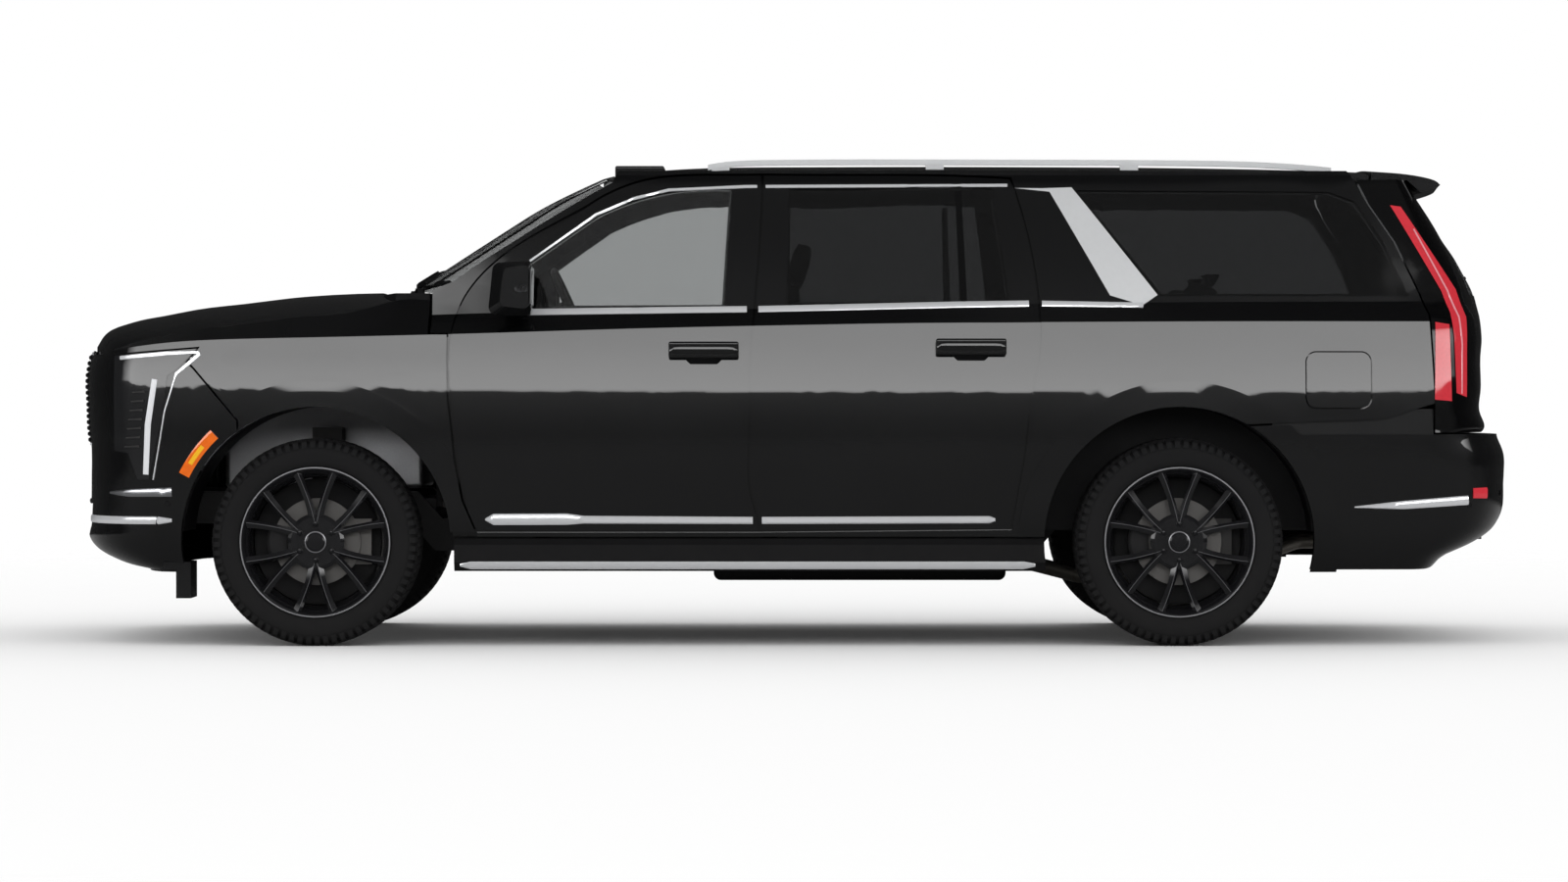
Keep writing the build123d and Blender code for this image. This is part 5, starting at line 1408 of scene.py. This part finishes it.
    def build(self, kit: Assembler) -> None:
        """Makes the four wheels.

        Args:
            kit: The assembler.
        """
        for axle in Axle:
            for side in Side:
                low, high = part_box(f"rim_{axle.value}_left")
                centre = Vector(((low.x + high.x) / 2, low.y, (low.z + high.z) / 2))
                casting, bright, small = self.metal(centre)
                name, body = f"{axle.value}_{side.word}", f"wheel_{axle.value[0]}{side.letter}"
                rim = kit.piece(f"rim_{name}_visual", casting.on(side), WHEEL, body, "wheel_alloy", 0.5)
                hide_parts(f"rim_{name}")
                kit.piece(f"rim_edges_{name}", bright.on(side), EDGE, body, "bright_trim")
                kit.piece(f"rim_cap_{name}", small.on(side), MESH_BLACK, body, "gloss_black", 0.4)
                disc = Shape()
                disc.spin(self.disc, tuple(centre), 96)
                kit.piece(f"brake_disc_{name}", disc.on(side), IRON, body, "cast_iron")
                carrier = f"knuckle_{side.letter}" if axle is Axle.FRONT else "vehicle"
                kit.piece(f"brake_caliper_{name}", self.caliper(centre).on(side), STEEL, carrier, "frame_steel",
                          bevel=0.002)
                shield = Shape()
                shield.spin(self.shield, tuple(centre), 96)
                kit.piece(f"brake_shield_{name}", shield.on(side), PLASTIC, carrier, "black_plastic")


@dataclass
class Tyre:
    """Tyre carcass with a repeated tread pitch."""

    pitches: int = 72
    tread_low: float = 0.3985
    tread_high: float = 0.4092
    rows: tuple = (-0.086, -0.043, 0.0, 0.043, 0.086)
    block_width: float = 0.033
    fill: float = 0.78
    half_profile: tuple = ((0.286, 0.104), (0.2985, 0.1255), (0.304, 0.1310), (0.322, 0.1375), (0.345, 0.1388),
                           (0.366, 0.1372), (0.382, 0.1310), (0.393, 0.1190), (0.399, 0.1000), (0.401, 0.0500))

    def carcass(self, centre: Vector) -> Shape:
        """Closed tyre body.

        Args:
            centre: Middle of the tyre.

        Returns:
            The body.
        """
        side = [(r, y) for r, y in self.half_profile]
        profile = [(r, -y) for r, y in side] + [(0.4015, 0.0)] + side[::-1]
        inner = [(0.296, 0.098), (0.340, 0.122), (0.384, 0.098), (0.390, 0.0), (0.384, -0.098), (0.340, -0.122),
                 (0.296, -0.098)]
        shape = Shape()
        shape.spin(profile + inner, tuple(centre), 144)
        return shape

    def pitch(self) -> Shape:
        """One tread pitch about the Y axis, at the top of the tyre.

        Returns:
            Blocks and shoulder lugs.
        """
        shape = Shape()
        step = math.tau / self.pitches
        for i, y in enumerate(self.rows):
            shift = step * (0.5 if i % 2 else 0.0)
            slant = step * 0.16 * (1 if i % 2 else -1)
            rings = []
            for r, trim in ((self.tread_low, 0.0), (self.tread_high - 0.0012, 0.0008), (self.tread_high, 0.002)):
                half = self.block_width / 2 - trim
                arc = step * self.fill / 2 - trim / r
                ring = []
                for u, v in ((-1, -1), (-0.2, -1), (1, -1), (1, 1), (0.2, 1), (-1, 1)):
                    a = shift + u * arc + v * slant
                    ring.append((r * math.sin(a), y + v * half, r * math.cos(a)))
                rings.append(ring)
            shape.loft(rings)
        lug = ((0.4080, 0.106), (0.4045, 0.1215), (0.396, 0.1330), (0.384, 0.1385), (0.372, 0.1389),
               (0.372, 0.1350), (0.384, 0.1280), (0.396, 0.1100))
        for hand in (-1, 1):
            rings = []
            for u in (-1, 1):
                a = u * step * 0.30 + hand * step * 0.25
                rings.append([(r * math.sin(a), hand * y, r * math.cos(a)) for r, y in lug])
            shape.loft(rings)
        return shape

    def tree(self, kit: Assembler) -> bpy.types.NodeTree:
        """Geometry Nodes tree that turns the pitch about the axle.

        Args:
            kit: The assembler.

        Returns:
            The tree.
        """
        tree, start, end = NodeTools.tree("tread_ring", {"Pitches": self.pitches, "Centre X": 0.0,
                                                         "Centre Y": 0.0, "Centre Z": 0.0})
        line = tree.nodes.new("GeometryNodeMeshLine")
        for axis in range(3):
            line.inputs["Offset"].default_value[axis] = 0.0
        centre = tree.nodes.new("ShaderNodeCombineXYZ")
        for axis in "XYZ":
            link(tree, start.outputs[f"Centre {axis}"], centre.inputs[axis])
        index = tree.nodes.new("GeometryNodeInputIndex")
        share = tree.nodes.new("ShaderNodeMath")
        share.operation = "DIVIDE"
        angle = tree.nodes.new("ShaderNodeMath")
        angle.operation = "MULTIPLY"
        angle.inputs[1].default_value = math.tau
        turn = tree.nodes.new("ShaderNodeCombineXYZ")
        place = tree.nodes.new("GeometryNodeInstanceOnPoints")
        link(tree, start.outputs["Pitches"], line.inputs["Count"])
        link(tree, centre.outputs[0], line.inputs["Start Location"])
        link(tree, index.outputs[0], share.inputs[0])
        link(tree, start.outputs["Pitches"], share.inputs[1])
        link(tree, share.outputs[0], angle.inputs[0])
        link(tree, angle.outputs[0], turn.inputs["Y"])
        link(tree, line.outputs["Mesh"], place.inputs["Points"])
        link(tree, start.outputs["Geometry"], place.inputs["Instance"])
        link(tree, turn.outputs[0], place.inputs["Rotation"])
        NodeTools.close(tree, place.outputs["Instances"], end, kit.shop.material(RUBBER))
        return tree

    def build(self, kit: Assembler) -> None:
        """Makes the four tyres.

        Args:
            kit: The assembler.
        """
        tree = self.tree(kit)
        for axle in Axle:
            for side in Side:
                name = f"{axle.value}_{side.word}"
                low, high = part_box(f"tyre_{name}")
                centre = (low + high) / 2
                body = f"wheel_{axle.value[0]}{side.letter}"
                tread = NodeTools.run(f"tyre_tread_{name}", self.pitch(), tree, {
                    "Pitches": self.pitches, "Centre X": centre.x, "Centre Y": centre.y, "Centre Z": centre.z})
                Assembler.tidy(tread.data)
                kit.finish(tread, RUBBER, body, "tyre", 0.5)
                tyre = kit.piece(f"tyre_{name}_visual", self.carcass(centre), RUBBER, body, "tyre", 0.7)
                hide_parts(f"tyre_{name}")


@dataclass
class Seats:
    """Padded seats made by a short cloth simulation."""

    voxel: float = 0.017
    pressure: float = 4.0
    frames: int = 20
    most: float = 0.024
    relax_steps: int = 10
    seam_depth: float = 0.006
    seam_width: float = 0.009

    def cushion(self, low: Vector, high: Vector, bolster: float) -> Shape:
        """Crowned pad with raised sides, from its box.

        Args:
            low: Lowest corner.
            high: Highest corner.
            bolster: Height of the raised sides.

        Returns:
            The pad.
        """
        shape = Shape()
        middle, half = (low.y + high.y) / 2, (high.y - low.y) / 2
        rings = []
        for k in range(13):
            t = k / 12
            x = low.x + (high.x - low.x) * t
            pinch = 0.012 * abs(2 * t - 1) ** 4
            drop = 0.045 * max(0.0, 1 - t * 5) ** 2
            ring = []
            for u, v in ((-0.94, 0.0), (-1.0, 0.35), (-0.97, 0.85), (-0.84, 1.0), (-0.64, 0.74), (-0.30, 0.78),
                         (0.30, 0.78), (0.64, 0.74), (0.84, 1.0), (0.97, 0.85), (1.0, 0.35), (0.94, 0.0)):
                top = high.z - bolster + (bolster if abs(u) > 0.8 and v > 0.8 else 0.0) - drop
                ring.append((x, middle + u * (half - pinch), low.z + (top - low.z) * v))
            rings.append(ring)
        shape.loft(rings)
        return shape

    @staticmethod
    def leaned(shape: Shape, foot: Vector, degrees: float) -> Shape:
        """Stands a pad, drawn lying along X, up on its foot and leans it back.

        Args:
            shape: The pad with its foot at the origin.
            foot: Where the foot goes.
            degrees: Lean from upright.

        Returns:
            The placed pad.
        """
        a = math.radians(degrees)
        up, face = Vector((math.sin(a), 0, math.cos(a))), Vector((-math.cos(a), 0, math.sin(a)))
        points = [foot + up * p.x + Vector((0, p.y, 0)) + face * p.z for p in shape.points]
        return Shape(points, [f[::-1] for f in shape.faces])

    def seat(self, x: float, y: float, width: float, z: float, lean: float, depth: float, height: float,
             heads: Sequence[float]) -> Shape:
        """Whole seat: cushion, backrest and headrests.

        Args:
            x: Front edge.
            y: Middle.
            width: Width of the cushion.
            z: Underside of the cushion.
            lean: Lean of the back, in degrees.
            depth: Length of the cushion.
            height: Length of the back.
            heads: Y offsets of the headrests.

        Returns:
            The seat.
        """
        shape = self.cushion(Vector((x + 0.012, y - width / 2 + 0.012, z)),
                             Vector((x + depth - 0.012, y + width / 2 - 0.012, z + 0.142)), 0.026)
        foot = Vector((x + depth + 0.072, y, z + 0.115))
        back = self.cushion(Vector((0, -width / 2 + 0.022, 0)), Vector((height - 0.006, width / 2 - 0.022, 0.118)), 0.022)
        up = Vector((math.sin(math.radians(lean)), 0, math.cos(math.radians(lean))))
        parts = [self.leaned(back, foot, lean)]
        for offset in heads:
            rest = self.cushion(Vector((0, -0.122, 0)), Vector((0.158, 0.122, 0.078)), 0.004)
            parts.append(self.leaned(rest, foot + up * (height + 0.030) + Vector((0, offset, 0)), lean))
            post = Shape()
            post.brick((-0.03, offset - 0.055, 0.022), (0.07, offset + 0.055, 0.040))
            parts.append(self.leaned(post, foot + up * (height - 0.02), lean))
        for part in parts:
            shape.add(part.points, part.faces)
        return shape

    def inflate(self, thing: bpy.types.Object) -> None:
        """Swells a pad with a short cloth simulation and keeps the result.

        Args:
            thing: The pad.
        """
        start = [v.co.copy() for v in thing.data.vertices]
        cloth = thing.modifiers.new("pad", "CLOTH")
        cloth.settings.use_pressure = True
        cloth.settings.uniform_pressure_force = self.pressure
        cloth.settings.effector_weights.gravity = 0.0
        cloth.settings.quality = 4
        cloth.collision_settings.use_self_collision = False
        cloth.point_cache.frame_start = 1
        cloth.point_cache.frame_end = self.frames
        scene = bpy.context.scene
        for k in range(1, self.frames + 1):
            scene.frame_set(k)
        graph = bpy.context.evaluated_depsgraph_get()
        mesh = bpy.data.meshes.new_from_object(thing.evaluated_get(graph))
        thing.modifiers.clear()
        thing.data = mesh
        for vertex, home in zip(mesh.vertices, start):
            move = vertex.co - home
            if move.length > self.most:
                vertex.co = home + move.normalized() * self.most
        scene.frame_set(1)

    def sew(self, thing: bpy.types.Object, lines: Sequence[tuple[int, float]]) -> None:
        """Presses sewn channels into a pad.

        Args:
            thing: The pad.
            lines: Axis index and place of each plane that a seam follows.
        """
        mesh = thing.data
        normals = [v.normal.copy() for v in mesh.vertices]
        for vertex, normal in zip(mesh.vertices, normals):
            press = max(math.exp(-((vertex.co[axis] - place) / self.seam_width) ** 2) * (1 - abs(normal[axis]))
                        for axis, place in lines)
            vertex.co -= normal * self.seam_depth * press

    def make(self, kit: Assembler, name: str, shape: Shape, node: str, lines: Sequence[tuple[int, float]],
             room: tuple[Vector, Vector]) -> None:
        """Makes one padded seat that stays in its room.

        Args:
            kit: The assembler.
            name: Name of the piece.
            shape: Its start shape.
            node: The CAD node it stands for.
            lines: Planes of its seams.
            room: Lowest and highest corner that it may reach.
        """
        mesh = bpy.data.meshes.new(name)
        mesh.from_pydata([tuple(p) for p in shape.points], [], shape.faces)
        Assembler.tidy(mesh)
        thing = bpy.data.objects.new(name, mesh)
        bpy.context.scene.collection.objects.link(thing)
        remesh = thing.modifiers.new("voxels", "REMESH")
        remesh.mode = "VOXEL"
        remesh.voxel_size = self.voxel * 1
        Assembler.apply(thing)
        self.inflate(thing)
        relax = thing.modifiers.new("relax", "SMOOTH")
        relax.factor, relax.iterations = 0.5, self.relax_steps
        Assembler.apply(thing)
        smooth = thing.modifiers.new("smooth", "SUBSURF")
        smooth.levels = smooth.render_levels = 1
        Assembler.apply(thing)
        self.sew(thing, lines)
        for vertex in thing.data.vertices:
            for axis in range(3):
                vertex.co[axis] = min(max(vertex.co[axis], room[0][axis]), room[1][axis])
        kit.finish(thing, LEATHER, "vehicle", "leather", math.pi)
        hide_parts(node)

    def build(self, kit: Assembler) -> None:
        """Makes the five seats.

        Args:
            kit: The assembler.
        """
        rows = (("front_seat", "front_seats", 0.400, 0.54, 18, 0.52, 0.61),
                ("middle_seat", "middle_seats", 0.420, 0.52, 18, 0.50, 0.60))
        for name, node, y, width, lean, depth, height in rows:
            low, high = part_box(node)
            cushion_z = low.z + 0.18
            for side in Side:
                middle = y * side.value
                shape = self.seat(low.x, middle, width, cushion_z, lean, depth, height, (0.0,))
                base = Shape()
                base.brick((low.x + 0.07, middle - width / 2 + 0.07, low.z + 0.004),
                           (low.x + depth - 0.07, middle + width / 2 - 0.07, cushion_z + 0.03))
                shape.add(base.points, base.faces)
                lines = [(1, middle - width * 0.30), (1, middle + width * 0.30), (0, low.x + depth * 0.45),
                         (2, cushion_z + 0.36), (2, cushion_z + 0.50)]
                room = (Vector((low.x, middle - width / 2, low.z)), Vector((high.x, middle + width / 2, high.z)))
                self.make(kit, f"{name}_{side.word}", shape, node, lines, room)
        low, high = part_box("rear_seat")
        bench = self.seat(low.x, 0.0, 1.20, low.z + 0.08, 16, 0.41, 0.50, (-0.36, 0.36))
        base = Shape()
        base.brick((low.x + 0.08, -0.52, low.z + 0.004), (low.x + 0.33, 0.52, low.z + 0.12))
        bench.add(base.points, base.faces)
        lines = [(1, -0.2), (1, 0.2), (0, low.x + 0.2), (2, low.z + 0.45)]
        self.make(kit, "rear_bench", bench, "rear_seat", lines, (low, high))


@dataclass
class Cabin:
    """Screen and vents on the dashboard that show through the glass."""

    screen_z: float = 1.265
    screen_height: float = 0.13

    def build(self, kit: Assembler) -> None:
        """Makes the pieces on the dashboard.

        Args:
            kit: The assembler.
        """
        skin = Skin(kit.frame, "dashboard")
        screen = Ribbon.along([(-0.62, self.screen_z, self.screen_height), (0.18, self.screen_z, self.screen_height)],
                              skin.back, 0.012, 0.05)
        kit.piece("dash_screen", screen, SCREEN, "vehicle", "gloss_black", bevel=0.002)
        for k, y in enumerate((-0.70, 0.28, 0.46, 0.68)):
            vent = Shape()
            for i in range(5):
                slat = Ribbon.along([(y - 0.06, 1.17 + i * 0.014, 0.006), (y + 0.06, 1.17 + i * 0.014, 0.006)],
                                    skin.back, 0.008, 0.03)
                vent.add(slat.points, slat.faces)
            if vent.points:
                kit.piece(f"dash_vent_{k}", vent, SATIN, "vehicle", "bright_trim")


@dataclass
class Studio:
    """Camera, plain light and floor."""

    eye: Point = (-0.045, -19.5, 0.95)
    pitch: float = 0.437
    lens: float = 107.8
    floor_radius: float = 13.0
    band_low: float = 5.4
    band_high: float = 19.0
    band_end: float = 25.0
    band_level: float = 7.5
    dim_level: float = 0.16
    back_level: float = 0.02
    near_side: Pair = (-0.2, -0.5)

    def build(self) -> None:
        """Makes the camera, the world and the floor."""
        scene = bpy.context.scene
        scene.view_settings.view_transform = "Standard"
        data = bpy.data.cameras.new("camera")
        data.lens = self.lens
        data.sensor_width = 36.0
        data.clip_end = 200.0
        camera = bpy.data.objects.new("camera", data)
        camera.location = self.eye
        camera.rotation_euler = (math.radians(90 - self.pitch), 0, 0)
        scene.collection.objects.link(camera)
        scene.camera = camera
        scene.world = self.world()
        self.floor()

    @staticmethod
    def reflected(tree: bpy.types.NodeTree) -> bpy.types.NodeSocket:
        """Socket that is 1 for a glossy reflection and 0 for a ray that comes through glass."""
        path = tree.nodes.new("ShaderNodeLightPath")
        only = tree.nodes.new("ShaderNodeMath")
        only.operation = "SUBTRACT"
        only.use_clamp = True
        link(tree, path.outputs["Is Glossy Ray"], only.inputs[0])
        link(tree, path.outputs["Is Transmission Ray"], only.inputs[1])
        return only.outputs[0]

    def world(self) -> bpy.types.World:
        """Even white surroundings, with one soft bright band that only gloss sees.

        Returns:
            The world.
        """
        world = bpy.data.worlds.new("studio")
        world.use_nodes = True
        tree = world.node_tree
        tree.nodes.clear()
        end = tree.nodes.new("ShaderNodeOutputWorld")
        plain = tree.nodes.new("ShaderNodeBackground")
        plain.inputs["Color"].default_value = (1, 1, 1, 1)
        plain.inputs["Strength"].default_value = 1.0
        place = tree.nodes.new("ShaderNodeTexCoord")
        split = tree.nodes.new("ShaderNodeSeparateXYZ")
        link(tree, place.outputs["Generated"], split.inputs[0])
        shift = tree.nodes.new("ShaderNodeMath")
        shift.operation = "MULTIPLY_ADD"
        shift.inputs[1].default_value = 0.5
        shift.inputs[2].default_value = 0.5
        link(tree, split.outputs["Z"], shift.inputs[0])
        ramp = tree.nodes.new("ShaderNodeValToRGB")
        stops = ((self.band_low, 0.0), (self.band_low + 0.5, 1.0), (self.band_high, 0.75), (self.band_end, 0.0))
        while len(ramp.color_ramp.elements) < len(stops):
            ramp.color_ramp.elements.new(0.5)
        for element, (degrees, level) in zip(ramp.color_ramp.elements, stops):
            element.position = (math.sin(math.radians(degrees)) + 1) / 2
            element.color = (level, level, level, 1)
        link(tree, shift.outputs[0], ramp.inputs[0])
        level = tree.nodes.new("ShaderNodeMath")
        level.operation = "MULTIPLY_ADD"
        level.inputs[1].default_value = self.band_level
        level.inputs[2].default_value = self.dim_level
        link(tree, ramp.outputs["Color"], level.inputs[0])
        near = tree.nodes.new("ShaderNodeMapRange")
        near.inputs["From Min"].default_value, near.inputs["From Max"].default_value = self.near_side
        link(tree, split.outputs["Y"], near.inputs["Value"])
        sided = tree.nodes.new("ShaderNodeMath")
        sided.operation = "MULTIPLY_ADD"
        sided.inputs[2].default_value = self.back_level
        link(tree, level.outputs[0], sided.inputs[0])
        link(tree, near.outputs[0], sided.inputs[1])
        banded = tree.nodes.new("ShaderNodeBackground")
        link(tree, sided.outputs[0], banded.inputs["Strength"])
        mix = tree.nodes.new("ShaderNodeMixShader")
        link(tree, self.reflected(tree), mix.inputs[0])
        link(tree, plain.outputs[0], mix.inputs[1])
        link(tree, banded.outputs[0], mix.inputs[2])
        link(tree, mix.outputs[0], end.inputs["Surface"])
        return world

    def floor(self) -> None:
        """Round pale floor that fades out at its rim and keeps the vehicle's shadow; glossy reflections see it dark
        grey instead, a painted dark reflection.
        """
        shape = Shape()
        steps = 96
        ring = [(self.floor_radius * math.cos(math.tau * k / steps), self.floor_radius * math.sin(math.tau * k / steps),
                 0.0) for k in range(steps)]
        shape.add([(0, 0, 0)] + ring, [(0, 1 + k, 1 + (k + 1) % steps) for k in range(steps)])
        mesh = bpy.data.meshes.new("floor")
        mesh.from_pydata([tuple(p) for p in shape.points], [], shape.faces)
        thing = bpy.data.objects.new("floor", mesh)
        bpy.context.scene.collection.objects.link(thing)
        material = bpy.data.materials.new("pale_floor")
        material.use_nodes = True
        tree = material.node_tree
        tree.nodes.clear()
        end = tree.nodes.new("ShaderNodeOutputMaterial")
        pale = tree.nodes.new("ShaderNodeBsdfDiffuse")
        pale.inputs["Color"].default_value = (0.985, 0.985, 0.985, 1)
        # Dark grey floor that only glossy reflections see: a painted dark reflection in the paint and trim.
        dim = tree.nodes.new("ShaderNodeBsdfDiffuse")
        dim.inputs["Color"].default_value = (0.22, 0.22, 0.22, 1)
        seen = tree.nodes.new("ShaderNodeMixShader")
        place = tree.nodes.new("ShaderNodeTexCoord")
        far = tree.nodes.new("ShaderNodeVectorMath")
        far.operation = "LENGTH"
        fade = tree.nodes.new("ShaderNodeMapRange")
        fade.interpolation_type = "SMOOTHSTEP"
        fade.inputs["From Min"].default_value = self.floor_radius * 0.45
        fade.inputs["From Max"].default_value = self.floor_radius * 0.95
        clear = tree.nodes.new("ShaderNodeBsdfTransparent")
        rim = tree.nodes.new("ShaderNodeMixShader")
        link(tree, self.reflected(tree), seen.inputs[0])
        link(tree, pale.outputs[0], seen.inputs[1])
        link(tree, dim.outputs[0], seen.inputs[2])
        link(tree, place.outputs["Object"], far.inputs[0])
        link(tree, far.outputs["Value"], fade.inputs["Value"])
        link(tree, fade.outputs[0], rim.inputs[0])
        link(tree, seen.outputs[0], rim.inputs[1])
        link(tree, clear.outputs[0], rim.inputs[2])
        link(tree, rim.outputs[0], end.inputs["Surface"])
        mesh.materials.append(material)
        thing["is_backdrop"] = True


def main() -> None:
    """Builds the studio and every visible piece around the frame."""
    logging.basicConfig(level=logging.INFO, format="%(name)s %(message)s")
    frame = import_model()
    Studio().build()
    shop = Paintshop()
    shop.dress_nodes(frame)
    kit = Assembler(frame, shop)
    for part in (SideTrim(), Handles(), FrontEnd(), Grille(), Tail(), Wipers(), Mirror(), Wheel(), Tyre(), Cabin(), Seats()):
        LOG.info("building %s", type(part).__name__)
        part.build(kit)
    LOG.info("%d pieces", kit.count)


if __name__ == "__main__":
    main()
